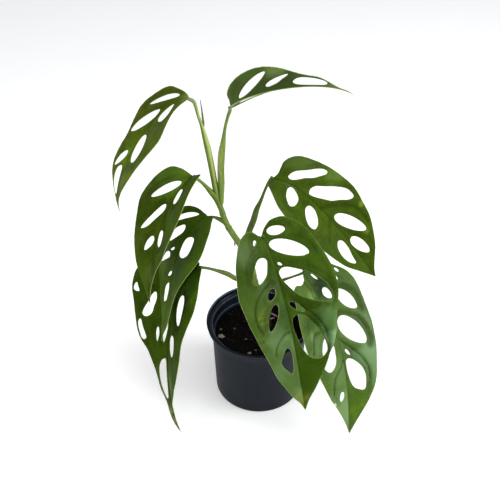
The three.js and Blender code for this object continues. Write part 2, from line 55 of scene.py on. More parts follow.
# ---------------------------------------------------------------- sizes and places, in millimetres
BLADE_THICK = 0.45  # leaf blade
BLADE_CELL = 1.5  # side of the square cells that a blade is divided into
OUTLINE_STEP = 1.3  # between the corners of a margin or a hole's rim
UV_CELL = 100.0  # length that one unit of a blade's own map stands for

POT_STEPS = 144
FLOOR_RADIUS, FLOOR_THICK = 48.4, 1.6
WALL_LOW, WALL_TOP = 51.0, 54.0  # radius of the pot's wall above its foot and under its rim
LOW_LEDGE, LIP_LEDGE, RIM_TOP = 85.2, 95.7, 101.8  # heights of the pale bands painted on the pot as highlights
DRAINS, DRAIN_RADIUS, DRAIN_CIRCLE = 8, 4.5, 32.0
SOIL_TOP, SOIL_DOME, SOIL_REACH = 82.0, 1.6, 49.0
STEM_FOOT = (11, 9, 5.5)  # x, y and the radius that loose crumbs keep clear of

# Each stalk's radius at its foot, along its sheath and at its blade, the side that the sheath opens to, and
# its centreline up to just short of the blade
STALKS = {
    "stalk_lower_right": ((2.6, 2, 1.2), (0, 0, 1),
        "0,7,129 13,1,148 24,-3,162 35,-7,171 42,-9,176"),
    "stalk_front": ((2.8, 2.6, 1.3), (0, 0, 1),
        "-10,5,178 -8,-16,205 -5,-35,233 -3,-48,251"),
    "stalk_lower_left": ((2.8, 2.6, 1.5), (0, 0, 1),
        "-6,7,151 -14,4,156 -25,-1,163 -34,-5,173 -44,-9,181 -54,-13,188 -61,-15,191"),
    "stalk_middle_left": ((2, 2.2, 1.3), (0, 0, 1),
        "-32,3,229 -36.5,2,237 -42.5,2,242 -48.5,3,244 -53,3,243.8"),
    "stalk_upper_right": ((3.6, 3.3, 1.5), (-1, -0.3, 0),
        "-14,4,187 -15.5,6,199 -13.8,10,209 -10.5,13,220 -6.5,15,231 -3.5,18,242 1,20,253 4.5,23,262 "
        "8,25,270"),
    "stalk_top_right": ((3, 3.4, 1.5), (-1, -0.5, 0),
        "-40,3,262 -39,3,284 -39,4,301 -38,4,318 -36,5,334 -34,6,348 -31,7,360 -29,7,366"),
    "stalk_left": ((2.9, 2.9, 1.6), (0, 0, 1),
        "-38,3,247 -41,1,259 -45,1,269 -50,0,278 -56,-1,287 -62,-2,294"),
    "stalk_top_left": ((2.9, 3, 1.5), (1, -0.5, 0),
        "-43,3,266 -45,2,280 -47,3,295 -51,3,324 -56,4,350 -59,4,361 -61,5,370 -63,5,376"),
}
STEM_PATH = "11,9,68 11,9,84 3,8,116 -4,7,147 -10,6,179 -20,5,204 -28,4,220 -35,3,236 -40,3,254 -41,3,264"
STEM_RADII = [4.3, 4.2, 4, 3.8, 3.7, 3.6, 3.4, 3.3, 3.1, 2.6]
STEM_JOINTS = [129, 153, 178, 190, 230, 248]  # heights of the joint rings on the stem
SPEAR_PATH = "-54,4,350 -55,4,362 -56.5,4,378"
ROOT_PATHS = {
    "root_a": "10,10,92 12.5,14,88.2 15.5,17,86.4 18.5,19.5,85.4",
    "root_b": "10,9,103 14,12,99 19,16.5,91.5 23.5,20.5,84.7",
    "root_nub_a": "-26,3,214 -26.5,-1,209",
    "root_nub_b": "-22,3,207 -23,-1,202",
}
# Pieces lying on the soil: x, y, half size, squash
CRUMBS = {
    "perlite_a": (-44, 2, 1.5, 0.9), "perlite_b": (-28, 2, 1.3, 0.8), "perlite_c": (-15, -15, 1.3, 0.7),
    "perlite_d": (-4, -32, 1.3, 0.8), "bark_a": (-43.5, -10, 2.9, 0.7), "bark_b": (-11, -37, 1.8, 0.7),
    "bark_c": (44, -18, 3.4, 0.6),
}

# The midrib runs in the frame, and the face's direction is given at its two ends. The halves of each blade
# are drawn flat, tip down: s runs from the stalk to the tip and t is the distance from the midrib. Holes are
# (inner s, inner t, outer s, outer t, width), or an outline. With t below 0 on the left half, creases are
# (half width, depth, strength of their painted shade, line), ridges having a depth below 0. Patches of colour
# are (s, t, radius, colour, share) and perhaps a graininess; some are the leaf's own tone, and many are
# painted shade, painted highlights and painted sheen. Places with a waxy sheen are (s, t, radius, weight).
LEAVES = {
    # lowest on the right, its top behind leaf_front
    "leaf_lower_right": dict(
        midrib="47,-10,179 89,-43,126 95,-67,102 98,-108,32.5",
        face="0.69,-0.21,0.69 0.3,-0.83,0.47", fold=13, droop=1.1, relief=1.1,
        left="2,5 6,11 6.5,22 2.5,33 6,45 19,52 34,56 50,57 66,56 80,53 98,45 116,38 130,31 145,23 160,13 "
             "174,5",
        right="-9,6 -14,17 -8,32 2,40 11,43 19,50 28,56 38,58 50,56 64,52 80,49.5 96,45 112,40.5 126,37.5 "
              "138,33 150,25 162,16 173,8",
        left_holes=[(72, 17, 91, 30, 9),
            "86,10 93,10.8 101.5,11.8 107.8,14.8 111.5,19.8 111.5,24.5 108.5,28.4 104.5,30.5 97,28 92,22.5 "
            "87,16.5 84.5,12.5", (138, 7, 148, 11, 5)],
        right_holes=[(6, 8, 15, 12.5, 4.5), (18, 42, 22, 46, 5), (23, 36, 28, 38, 5), (26, 10, 39, 15, 11),
            (37, 24, 60, 41, 18), (62, 9, 93, 34, 22), (94, 5, 101, 10, 4),
            "106,3 104.5,7 106,11 110,16 115.5,20.5 121,23 126,24 133,23.3 138.5,21.5 140,18 138,12 135.5,8 "
            "130,5 122,3 114,2.3"],
        creases=[(1.2, 1.5, 0.7, "105,-1.5 111,-5 115,-10 120,-15.5 129,-19 139,-19.7"),
            (3.5, 1.8, 0.5, "31,29 38,41 46,48 60,45"), (3.2, 2, 0.6, "56,14 63,26 73,36 88,39 96,36"),
            (1.1, 1.6, 0.75, "82,2 90,9.5 97,15.5 105,22 114,26.8 120.5,29 127.5,28.5 137,26"),
            (1.4, 1.4, 0.7, "58,-12 63,-22 62,-35 71,-43 83,-45"),
            (3, -1.2, 0, "50,-48 58,-48 66,-48 74,-48"), (2, 1.4, 0.5, "8,-12 16,-8 26,-10 36,-8"),
            (1.6, 1.2, 0.6, "40,-38 47,-42 56,-46 66,-48")],
        tone_and_painted_light_spots=[(14, -24, 26, (0.07, 0.125, 0.014), 0.8), (24, -14, 10, (0.15, 0.26, 0.06), 0.7),
            (24, 10, 18, (0.008, 0.026, 0.001), 0.95), (44, -42, 18, (0.03, 0.065, 0.002), 0.8),
            (62, -42, 10, (0.13, 0.2, 0.06), 0.7), (78, -34, 20, (0.1, 0.17, 0.05), 0.6),
            (108, 33, 24, (0.12, 0.22, 0.085), 0.75), (126, 34, 18, (0.13, 0.21, 0.08), 0.6),
            (105, 19, 11, (0.1, 0.2, 0.06), 0.6), (154, 10, 30, (0.045, 0.095, 0.004), 0.8),
            (162, 12, 16, (0.09, 0.16, 0.004), 0.7, 12), (160, -6, 34, (0.145, 0.235, 0.085), 0.8),
            (118, -8, 26, (0.095, 0.17, 0.045), 0.6), (124, -34, 16, (0.05, 0.11, 0.006), 0.6),
            (150, -19.5, 3, (0.65, 0.66, 0.35), 0.9)],
        sheen=[(66, 46, 28, 0.15), (96, 30, 44, 0.15)],
    ),
    # in front of the pot, facing forward
    "leaf_front": dict(
        midrib="1,-56,264 28,-89,219 33,-119,172 45.5,-138,107.5",
        face="0.41,-0.61,0.68 0.44,-0.84,0.32", fold=18, droop=0.8, relief=1.1,
        left="-3,4 -8,8 -10,15 -7,26 0,35 14,45 30,51 45,55 61,53 79,49 98,43 116,36 134,29 148,21 162,13 "
             "173,5",
        right="-4,3 -8,8 -11,14 -11,21 -9,28 -4,33 4,40 14,45 28,50 41,54 55,56 71,55 91,48 110,42 122,37.5 "
              "134,31 148,22.5 161,14 173,5.5",
        left_holes=[(0, 10, 5, 14, 3),
            "20,19 22,21.5 26,25.5 31,30 36,33 39,32.5 40.5,29 41,25.5 39.5,20.5 36,14 31,10.5 24,7 20.5,7.5 "
            "18.7,10.5 18.3,15", (51, 9, 59, 20, 8), (66, 12, 88, 27, 10),
            "117,5 127,5 135,6 138,9 133,14 127,19 121,21 116,17 112,12 112,8"],
        right_holes=[(-2, 6.5, 2, 24, 9), (9, 3.5, 30, 37, 14), (29, 4, 32, 8, 3),
            "69,3.5 68.5,6 70.5,10 74,13.5 78,16.5 80,17.5 80.5,15 78,10 75.5,7 72,4",
            "37,3 44,3 53,7 63,14 71,25 76,37 78,46 70,49 59,44 49,34 41,22 35,10",
            "83,6 86,3 95,2.5 106,4.5 118,8 127,14 130,24 125,32 116,32 109.5,30.5 100.5,27 92,21.5 "
            "85.5,17.3 83.5,14 82,9.5"],
        creases=[(1.4, 1.5, 0.65, "45,-14 48,-24 54,-33 61,-38.5 69,-41 80,-40 88,-36"),
            (1.3, 1.5, 0.65, "97,-3 97,-9 100,-15 106,-23 113,-26"),
            (1.6, 0.9, 0.4, "6,-10 11,-22 18,-31 27,-37"),
            (1.3, 1.5, 0.7, "75,15 81,20 86,24.5 92,28.5 98,31.5 105,34 114,35.2 121,34.5"),
            (2.2, -1.6, 0, "84,21 89,25 95,28.5 103,31.5"), (6, -2.2, 0, "84,36 94,40 106,41 118,37"),
            (2.2, -1.1, 0, "0,31 14,41 30,47 44,51 56,52 72,51 90,44 108,37")],
        tone_and_painted_light_spots=[(30, 30, 45, (0.036, 0.078, 0.002), 0.6, 9), (28, -38, 40, (0.018, 0.036, 0.002), 0.4),
            (146, 14, 36, (0.026, 0.056, 0.001), 0.85), (97, 40, 22, (0.085, 0.17, 0.05), 0.75),
            (114, 40, 13, (0.19, 0.31, 0.14), 0.8), (92, 25, 10, (0.018, 0.045, 0.002), 0.8),
            (72, 15, 13, (0.018, 0.04, 0.002), 0.6), (134, -16, 60, (0.066, 0.118, 0.028), 0.75),
            (62, -34, 32, (0.048, 0.088, 0.013), 0.6), (97, -20, 20, (0.1, 0.17, 0.062), 0.5),
            (110, -7, 17, (0.1, 0.17, 0.06), 0.5), (129, -21, 15, (0.09, 0.155, 0.06), 0.4),
            (3, -30, 22, (0.075, 0.115, 0.035), 0.7), (47, -23, 13, (0.065, 0.115, 0.03), 0.5),
            (80, -4, 20, (0.026, 0.058, 0.013), 0.7), (165, -7, 14, (0.14, 0.19, 0.055), 0.6),
            (72, -34, 13, (0.12, 0.15, 0.02), 0.6, 30), (92, -40, 11, (0.1, 0.14, 0.03), 0.4, 24),
            (60, -50, 11, (0.07, 0.085, 0.015), 0.5, 30), (125, 38, 2.5, (0.2, 0.09, 0.03), 0.8),
            (172, 0, 14, (0.19, 0.21, 0.02), 0.4, 9)],
        sheen=[(60, -8, 26, 0.1), (95, -24, 26, 0.1), (8, -28, 22, 0.1)],
    ),
    # lowest on the left, hanging almost to the ground
    "leaf_lower_left": dict(
        midrib="-65,-16,194 -108,-28,151 -107,-71,54 -89,-87,9",
        face="-0.54,-0.33,0.77 -0.9,-0.42,0.08", fold=18, droop=0.5, relief=0.9,
        left="-3,2 -1,7 3,13 8,20 14,26 21,32 27,40 31,51 36,61 42,67 50,68 58,66 70,60 84,55 97,49 107,42 "
             "116,32 129,24 142,19 153,16 161,12 167,9 174,8 181,8 188,8 195,7 201,4",
        right="-3,5 -1,14 6,28 15,41 30,49 44,50 58,48 75,46 92,47 109,47 125,43 143,33 157,22 168,11 177,3 "
              "187,2 198,1.3",
        left_holes=["19,18 20,22 25,25 33,25 43,23 53,20 58,16 56,11 49,9 40,11 32,13 25,14",
            "53,60 56,57 59,54 60.5,57 60,61 57,62",
            "51,31 52,28 57,26 64,27 72,28 77,32 80,39 79,44 74,43 68,40 62,37 56,35",
            "85,46 86,44 91,41 97,37 102,35 105,38 103,42 99,44 93,47 88,48", (84, 17, 101, 18, 6),
            (72, 6, 99, 8, 7), "117,3 128,2 142,2 155,2.5 164,4 165,6 157,9 147,12 136,13 127,12 119,8"],
        right_holes=[(35, 9, 66, 23, 16), (83, 12, 107, 16, 12)],
        tone_and_painted_light_spots=[(14, 22, 30, (0.1, 0.22, 0.01), 0.85), (62, -50, 30, (0.018, 0.032, 0.004), 0.5, 9),
            (95, 20, 30, (0.018, 0.036, 0.002), 0.4, 9), (140, 14, 18, (0.1, 0.16, 0.02), 0.7),
            (158, -14, 14, (0.19, 0.22, 0.12), 0.6, 9), (190, -3, 24, (0.24, 0.28, 0.14), 0.85, 9),
            (190, 3, 24, (0.2, 0.24, 0.1), 0.7, 9)],
        sheen=[(150, -8, 30, 0.2)],
    ),
    # middle left, between the other two left leaves
    "leaf_middle_left": dict(
        midrib="-55,3,245 -94,-16,231 -90,-40,181 -105,-62,129",
        face="-0.41,-0.02,0.91 -0.95,-0.15,0.28", fold=9, droop=1.3, relief=0.9,
        left="-1,3 0,9 1,17 4,26 9,35 17,42 26,44 34,43 41,41 48,38 56,37 65,37 75,36 84,33 98,26 112,18 "
             "126,10 138,4",
        right="-4,4 -4,10 1,19 8,31 18,43 29,50 40,52 52,49 62,44 72,38 82,31 92,25 103,20 114,18 124,15 "
              "134,8 142,3",
        left_holes=[(5, 10, 27, 36, 8), "22,14 23,9 28,7 33,10 38,15 43,22 41,25 36,26 30,24 26,20",
            "46,11 48,9 50,11 50,14 48,14", "53,18 54,14 57,12 60,16 64,23 67,30 64,30 60,28 55,24",
            "70,5 70.5,2.5 73,2.5 76,6 76,9 73,9", "83,4 89,2.5 97,3 102,4 105,8 102,11 96,11.5 90,11 85,8"],
        right_holes=["27,11 27,18 32,24 40,27 46,25 50,18 50,10 47,5 41,3 35,3 30,5"],
        tone_and_painted_light_spots=[(18, 28, 30, (0.06, 0.12, 0.006), 0.6, 9), (90, 32, 18, (0.07, 0.1, 0.03), 0.6)],
        sheen=[(60, -20, 30, 0.1)],
    ),
    # upper right, its lower half behind leaf_front
    "leaf_upper_right": dict(
        midrib="12,27,276 49,14,280 89,-19,231 121,-29,190",
        face="0.1,0.01,1 0.21,-0.89,0.4", fold=15, droop=0.9, relief=0.9,
        left="0,6 2,18 7,28 16,39 26,46 37,48 49,47 64,43 78,38 95,31 109,26 123,20 135,12 146,5",
        right="2,3 4,8 4,17 4,26 8,35 14,40 22,41 32,42 44,43 58,43 70,42 84,38 99,34 113,27 126,19 137,10 "
              "146,4",
        left_holes=["22,7 25,4 32,8 37,13 39,20 39,27 37,31 34,32 27,25 23,15",
            "49,12 51,8 57,8 64,12 69,17 71,22 70,26 64,28 56,25 50,18",
            "98,12 98,8 102,5 111,5 120,7 127,8 126,11 120,15 112,17 103,16"],
        right_holes=["41,37 42,33 39,27 35,20 29,14 23,7 18,5 15,7 15,11 18,18 26,26 32,33 37,37",
            "74,35 75,32 73,27 68,21 63,14 56,9 49,5 43,3 41,5 40,9 42,15 49,22 56,29 64,35 69,36",
            (76, 5, 107, 22, 13), (104, 4, 127, 10, 11)],
        creases=[(2.4, 1.4, 0.5, "61,1 66,10 73,19 80,25.5 88,29 101,29"),
            (1.8, 1.2, 0.4, "76,-2 79,-7 85,-14 91,-20")],
        tone_and_painted_light_spots=[(84, 34, 5, (0.17, 0.23, 0.02), 0.6, 12), (108, 22, 6, (0.17, 0.23, 0.02), 0.5, 12),
            (46, 38, 16, (0.1, 0.17, 0.025), 0.7), (16, 30, 24, (0.08, 0.14, 0.02), 0.8),
            (22, -3, 12, (0.075, 0.12, 0.03), 0.6), (118, -14, 30, (0.034, 0.066, 0.003), 0.7),
            (92, -33, 18, (0.03, 0.056, 0.003), 0.6)],
        sheen=[(12, 32, 14, 0.35), (30, 34, 12, 0.25), (24, -37, 22, 0.2)],
    ),
    # upper left of the three that hang one over the other
    "leaf_left": dict(
        midrib="-66,-2,298 -89,-15,290 -115,-43,229 -112,-66,186",
        face="-0.58,-0.07,0.81 -0.78,-0.56,0.27", fold=18, droop=1, relief=0.9,
        left="1,4 2,11 4,21 8,31 16,37 26,41 38,43 48,43 60,39 72,35 84,31 96,25 108,18 120,10 131,4",
        right="-4,5 -4,14 1,23 10,34 22,43 36,47 50,44 64,40 78,34 92,27 104,18 116,11 128,5",
        left_holes=[(13, 4, 40, 29, 10), "39,6 42,4 48,5 56,10 65,16 70,22 71,26 65,24 56,19 47,14 41,10",
            (73, 5, 89, 12, 8)],
        right_holes=[(18, 5, 33, 14, 12), (63, 6, 79, 12, 10)],
        tone_and_painted_light_spots=[(14, -22, 32, (0.13, 0.23, 0.025), 0.8), (38, -35, 18, (0.08, 0.125, 0.015), 0.6),
            (84, -26, 16, (0.07, 0.1, 0.012), 0.5), (84, 2, 26, (0.02, 0.034, 0.002), 0.6, 9),
            (84, -4, 20, (0.02, 0.034, 0.002), 0.5, 9)],
        sheen=[(110, 0, 12, 0.3)],
    ),
    # top right, held level with its folded side towards the front
    "leaf_top_right": dict(
        midrib="-29,7,370 -6,30,375 58,29,388 89,25,373",
        face="-0.68,0.57,0.46 0.2,0.57,0.8", fold=18, droop=1, relief=0.4,
        left="-1,4 -2,9 -4,14 -5,20 -2,27 2,30 8,34 19,39 30,42 41,41 52,37 60,32 69,26 78,22 87,19 96,12 "
             "108,4 117,2",
        right="1,4 4,12 9,22 16,31 26,37 40,38 52,33 64,28 76,25 88,20 98,14 108,8 116,4",
        left_holes=[(11, 4, 37, 33, 12), "59,25 58,21 54,16 49,10 42,7 39,8 38,11 40,15 45,19 52,23 56,25",
            "64,9 69,5 79,3 88,3 94,4 96,7 94,11 88,14 81,16 72,17 66,14"],
        right_holes=[(14, 6, 38, 28, 11), (40, 7, 60, 22, 8), (66, 6, 90, 13, 7)],
        tone_and_painted_light_spots=[(47, -33, 16, (0.14, 0.2, 0.055), 0.85), (24, -34, 22, (0.055, 0.1, 0.015), 0.6),
            (118, 0, 34, (0.16, 0.22, 0.08), 0.8), (78, -16, 18, (0.055, 0.085, 0.02), 0.7)],
    ),
    # top left, the highest stalk
    "leaf_top_left": dict(
        midrib="-67,5,380 -91.5,20,373 -149.5,-9,310.3 -140,-20,267",
        face="-0.46,0.05,0.88 -0.9,-0.43,-0.05", fold=9, droop=1.5, relief=0.35,
        left="3,4 8,11 15,22 21,33 27,38 34,40 44,42 52,41 59,36 67,31 76,27 86,27 96,27 105,26 113,22 "
             "120,15 129,7 138,3",
        right="0,5 2,14 6,26 14,38 25,47 36,51 46,50 60,46 75,40 87,34 100,28 112,21 123,13 134,6",
        left_holes=[(12, 7, 42, 29, 8), "34,7 36,4 42,3 53,6 65,14 70,21 69,24 60,23 49,18 39,12",
            (85, 6, 105, 20, 8), "100,6 103,3 113,2 126,2 129,4 127,7 120,11 111,13 104,11"],
        right_holes=["16,4 16,12 19,20 25,23 32,22 36,17 37,10 33,5 27,3 21,2.5",
            "57,11 58,17 64,23 73,25 82,23 87,18 86,11 81,6 73,3 65,3 60,6"],
        tone_and_painted_light_spots=[(0, 0, 14, (0.19, 0.25, 0.09), 0.6, 9), (95, 0, 50, (0.11, 0.18, 0.01), 0.7, 7),
            (75, -20, 14, (0.03, 0.05, 0.002), 0.5, 7)],
    ),
}

# ---------------------------------------------------------------- lines and simple shapes
def read(text):
    """The points of a line from its text."""
    return [tuple(map(float, point.split(","))) for point in text.split()]


def spline(points, spacing, closed=False):
    """Points on the smooth line through the given ones, about spacing apart."""
    lead, trail = (points[-1:], points[:2]) if closed else (points[:1], points[-1:])
    padded = [*lead, *points, *trail]
    line = []
    for before, start, end, after in zip(padded, padded[1:], padded[2:], padded[3:]):
        steps = max(1, round((end - start).length / spacing))
        for step in range(steps):
            w = step / steps
            cubic = 3 * start - before - 3 * end + after
            square = 2 * before - 5 * start + 4 * end - after
            line.append(start + 0.5 * w * (end - before + w * (square + w * cubic)))
    return line if closed else line + [points[-1]]


def running_length(line):
    """How far along the line each of its points lies."""
    reached = [0.0]
    for a, b in zip(line, line[1:]):
        reached.append(reached[-1] + (b - a).length)
    return reached


def bump(x, middle, width):
    """A smooth hill of height 1 at the middle."""
    return math.exp(-(((x - middle) / width) ** 2))


def ease(x, low, high):
    """0 below low, 1 above high, and smooth between them."""
    w = min(1.0, max(0.0, (x - low) / (high - low)))
    return w * w * (3 - 2 * w)


def to_object(bm, name, *materials):
    """The finished bmesh as a smooth-shaded object at the origin."""
    mesh = bpy.data.meshes.new(name)
    bm.to_mesh(mesh)
    bm.free()
    mesh.polygons.foreach_set("use_smooth", [True] * len(mesh.polygons))
    for material in materials:
        mesh.materials.append(material)
    piece = bpy.data.objects.new(name, mesh)
    bpy.context.scene.collection.objects.link(piece)
    return piece


def modify(piece, name, kind, **settings):
    modifier = piece.modifiers.new(name, kind)
    for key, value in settings.items():
        setattr(modifier, key, value)


def settle(piece, slot, *nodes):
    """The piece rides on the one body and stands for the CAD nodes; the slot is not used."""
    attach(piece, "root")
    if nodes:
        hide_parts(*nodes)


def tinted(colour, factor):
    return tuple(factor * c for c in colour)


# ---------------------------------------------------------------- materials
class Wire:
    """A node's output. Sums written on it add Math nodes."""

    def __init__(self, finish, socket):
        self.finish, self.socket = finish, socket

    def maths(self, operation, *values):
        return self.finish.node("ShaderNodeMath", dict(operation=operation), list(values))

    def __add__(self, other):
        return self.maths("ADD", self, other)

    def __sub__(self, other):
        return self.maths("SUBTRACT", self, other)

    def __rsub__(self, other):
        return self.maths("SUBTRACT", other, self)

    def __mul__(self, other):
        return self.maths("MULTIPLY", self, other)

    def __abs__(self):
        return self.maths("ABSOLUTE", self)

    __radd__ = __add__
    __rmul__ = __mul__

    def ramp(self, low, high):
        """0 below low, 1 above high, smooth between; turned round if low is above high."""
        ends = {"Value": self, "From Min": low, "From Max": high, "To Min": 0.0, "To Max": 1.0}
        return self.finish.node("ShaderNodeMapRange", dict(interpolation_type="SMOOTHSTEP"), ends)


class Finish:
    """A material built node by node on one Principled shader."""

    def __init__(self, name, **uniform):
        self.material = bpy.data.materials.new(name)
        self.material.use_nodes = True
        self.tree = self.material.node_tree
        self.shader = self.tree.nodes["Principled BSDF"]
        for socket, value in uniform.items():
            self.shader.inputs[socket.replace("_", " ")].default_value = value

    def node(self, kind, settings=None, values=(), output=0):
        """Adds a node, sets it up, feeds its inputs by name or by place, and gives one output."""
        made = self.tree.nodes.new(kind)
        for key, value in (settings or {}).items():
            setattr(made, key, value)
        for key, value in values.items() if isinstance(values, dict) else enumerate(values):
            self.feed(made.inputs[key], value)
        return Wire(self, made.outputs[output])

    def feed(self, socket, value):
        if isinstance(value, Wire):
            self.tree.links.new(value.socket, socket)
        elif isinstance(value, tuple) and len(value) == 3 and socket.type == "RGBA":
            socket.default_value = (*value, 1.0)
        else:
            socket.default_value = value

    def shade(self, **inputs):
        """Feeds the shader's own inputs, named with underscores for spaces."""
        for key, value in inputs.items():
            self.feed(self.shader.inputs[key.replace("_", " ")], value)
        return self.material

    def place(self):
        return self.node("ShaderNodeTexCoord", output="Object")

    def part(self, vector, axis):
        """X, Y or Z of a vector."""
        return self.node("ShaderNodeSeparateXYZ", {}, [vector], axis)

    def stored(self, name, output="Fac"):
        return self.node("ShaderNodeAttribute", dict(attribute_name=name), output=output)

    def noise(self, where, scale, detail=2.0, roughness=0.5):
        values = {"Vector": where, "Scale": scale, "Detail": detail, "Roughness": roughness}
        return self.node("ShaderNodeTexNoise", {}, values)

    def cells(self, where, scale, feature):
        values = {"Vector": where, "Scale": scale}
        return self.node("ShaderNodeTexVoronoi", dict(feature=feature), values, "Distance")

    def mix(self, share, low, high):
        """A colour between low and high."""
        made = self.tree.nodes.new("ShaderNodeMix")
        made.data_type = "RGBA"
        sockets = [s for s in made.inputs if s.enabled]
        for socket, value in zip(sockets, (share, low, high)):
            self.feed(socket, value)
        return Wire(self, next(s for s in made.outputs if s.enabled))

    def stretched(self, where, scale):
        return self.node("ShaderNodeVectorMath", dict(operation="MULTIPLY"), [where, scale])

    def spread(self, across, wander, s, t, radius):
        """1 near a place on a blade, 0 beyond the radius and over the midrib; wander makes it uneven."""
        away = self.node("ShaderNodeVectorMath", dict(operation="DISTANCE"),
                         [across, (t / UV_CELL, -s / UV_CELL, 0)], "Value")
        near = (away * UV_CELL + wander * radius).ramp(radius, 0.25 * radius)
        if t == 0:
            return near
        soft = math.copysign(0.006, t)
        return near * self.part(across, "X").ramp(-soft, soft)

    def add_tone_and_painted_light(self, across, leaf, colour):
        """The colour with a leaf's patches of its own tone and of painted shade, painted highlights and
        painted sheen; a grainy one is broken up by noise of that scale.
        """
        wander = (self.noise(across, 9.0, 3.0) - 0.5) * 0.9
        # Some patches are the leaf's own tone; many are painted shade, painted highlights and painted sheen.
        for s, t, radius, tint, share, *grain in leaf["tone_and_painted_light_spots"]:
            broken = self.noise(across, grain[0], 2.0).ramp(0.35, 0.65) if grain else 1.0
            colour = self.mix(self.spread(across, wander, s, t, radius) * broken * share, colour, tint)
        return colour

    def raised(self, height, depth):
        """A normal from a height of 0 to 1 that stands for depth metres."""
        return self.node("ShaderNodeBump", {}, {"Height": height, "Distance": depth, "Strength": 1.0})


# ---------------------------------------------------------------- leaf blades
RIB_GROOVE, RIB_WIDTH = 0.6, 1.4  # depth and half width of the channel over the midrib
RIB_CLEAR = (1.5, 7.0)  # how far from the midrib the relief sets in and is full
MARGIN_CLEAR = (0.5, 5.0)  # how far from the margin a vein sets in and is full
VEIN_RING, VEIN_DEPTH, VEIN_WIDTH = 5.6, 1.0, 1.9  # the sunken vein round each hole: how far off, deep, wide
VEIN_PATCH = 11  # size of the patches in which veins are deeper or shallower
SWELL, SWELL_AT, SWELL_WIDTH = 0.5, 1.5, 2.2  # the rise between a hole's lower rim and its vein
BEND, BEND_WIDTH, BEND_SHADE = 1.1, 3.2, 0.4  # the bend down to a hole's upper rim
EDGE_ROLL, EDGE_WIDTH = 0.8, 2.2  # how far the margin turns down
WAVE, WAVE_ACROSS, WAVE_ALONG = 1.5, 24, 30  # height and lengths of the slow waves in a blade
SOFT_EDGE = 0.14  # bevel round a blade
HOLE_EGG = 0.14  # how much fuller a hole is at its inner end
# The last mark is the painted shade in the creases and on the bends down to the holes' upper rims.
MARKS = ("hole_distance", "margin_distance", "vein", "crease_shade")  # what a blade stores for its finish


class Surface:
    """The curved face of a blade: s runs down the midrib, t across it and z out of the upper face."""

    KNOTS = 200

    def __init__(self, leaf):
        self.corners = [Vector(p) for p in read(leaf["midrib"])]
        self.reached = running_length([self.rib(i / self.KNOTS) for i in range(self.KNOTS + 1)])
        self.length = self.reached[-1]
        self.base_out, self.tip_out = (Vector(v) for v in read(leaf["face"]))
        self.fold = math.radians(leaf["fold"])
        self.droop = leaf["droop"]

    def rib(self, q):
        a, b, c, d = self.corners
        return a * (1 - q) ** 3 + b * 3 * q * (1 - q) ** 2 + c * 3 * q * q * (1 - q) + d * q**3

    def slope(self, q):
        a, b, c, d = self.corners
        return ((b - a) * (1 - q) ** 2 + (c - b) * 2 * q * (1 - q) + (d - c) * q * q).normalized()

    def at(self, s, t, z):
        near = min(max(s, 0.0), self.length)
        i = min(bisect.bisect_right(self.reached, near), self.KNOTS) - 1
        share = (near - self.reached[i]) / (self.reached[i + 1] - self.reached[i])
        q = (i + share) / self.KNOTS
        along = self.slope(q)
        out = self.base_out.lerp(self.tip_out, near / self.length)
        out = (out - along * out.dot(along)).normalized()
        across = out.cross(along)
        lift = abs(t) * math.sin(self.fold) - self.droop * t * t / 1000 + z
        return self.rib(q) + along * (s - near) + across * (t * math.cos(self.fold)) + out * lift


def flat(s, t, side=1):
    """A place on the blade as drawn flat, tip down."""
    return Vector((side * t, -s, 0.0))


def margin_loop(leaf, length):
    halves = []
    for side, half in ((-1, leaf["left"]), (1, leaf["right"])):
        drawn = [flat(0, 0), *(flat(s, t, side) for s, t in read(half)), flat(length, 0)]
        line = spline(drawn, OUTLINE_STEP)
        for point in line:
            point.x = side * max(0.0, side * point.x)
        halves.append(line)
    left, right = halves
    return left + right[-2:0:-1]


def hole_loop(hole, side):
    """The rim of a hole, smooth through its outline, or an oval a little fuller at its inner end."""
    if isinstance(hole, str):
        return spline([flat(s, t, side) for s, t in read(hole)], OUTLINE_STEP, closed=True)
    inner_s, inner_t, outer_s, outer_t, width = hole
    inner, outer = flat(inner_s, inner_t, side), flat(outer_s, outer_t, side)
    axis = (outer - inner) / 2
    cross = Vector((-axis.y, axis.x, 0)).normalized() * width / 2
    steps = max(8, round(4.4 * axis.length / OUTLINE_STEP))
    turns = [2 * math.pi * i / steps for i in range(steps)]
    return [(inner + outer) / 2 + axis * math.cos(a) + cross * (1 - HOLE_EGG * math.cos(a)) * math.sin(a)
            for a in turns]


def hole_shape(hole):
    """The middle of a hole, and the way across it towards the stalk, one over its half width long."""
    middle = sum(hole, Vector()) / len(hole)
    far = max(hole, key=lambda point: (point - middle).length) - middle
    upward = Vector((-far.y, far.x, 0)).normalized()
    if upward.y < 0:
        upward.negate()
    return middle, upward / max((point - middle).dot(upward) for point in hole)


def tree_of(points):
    tree = KDTree(len(points))
    for i, point in enumerate(points):
        tree.insert(point, i)
    tree.balance()
    return tree


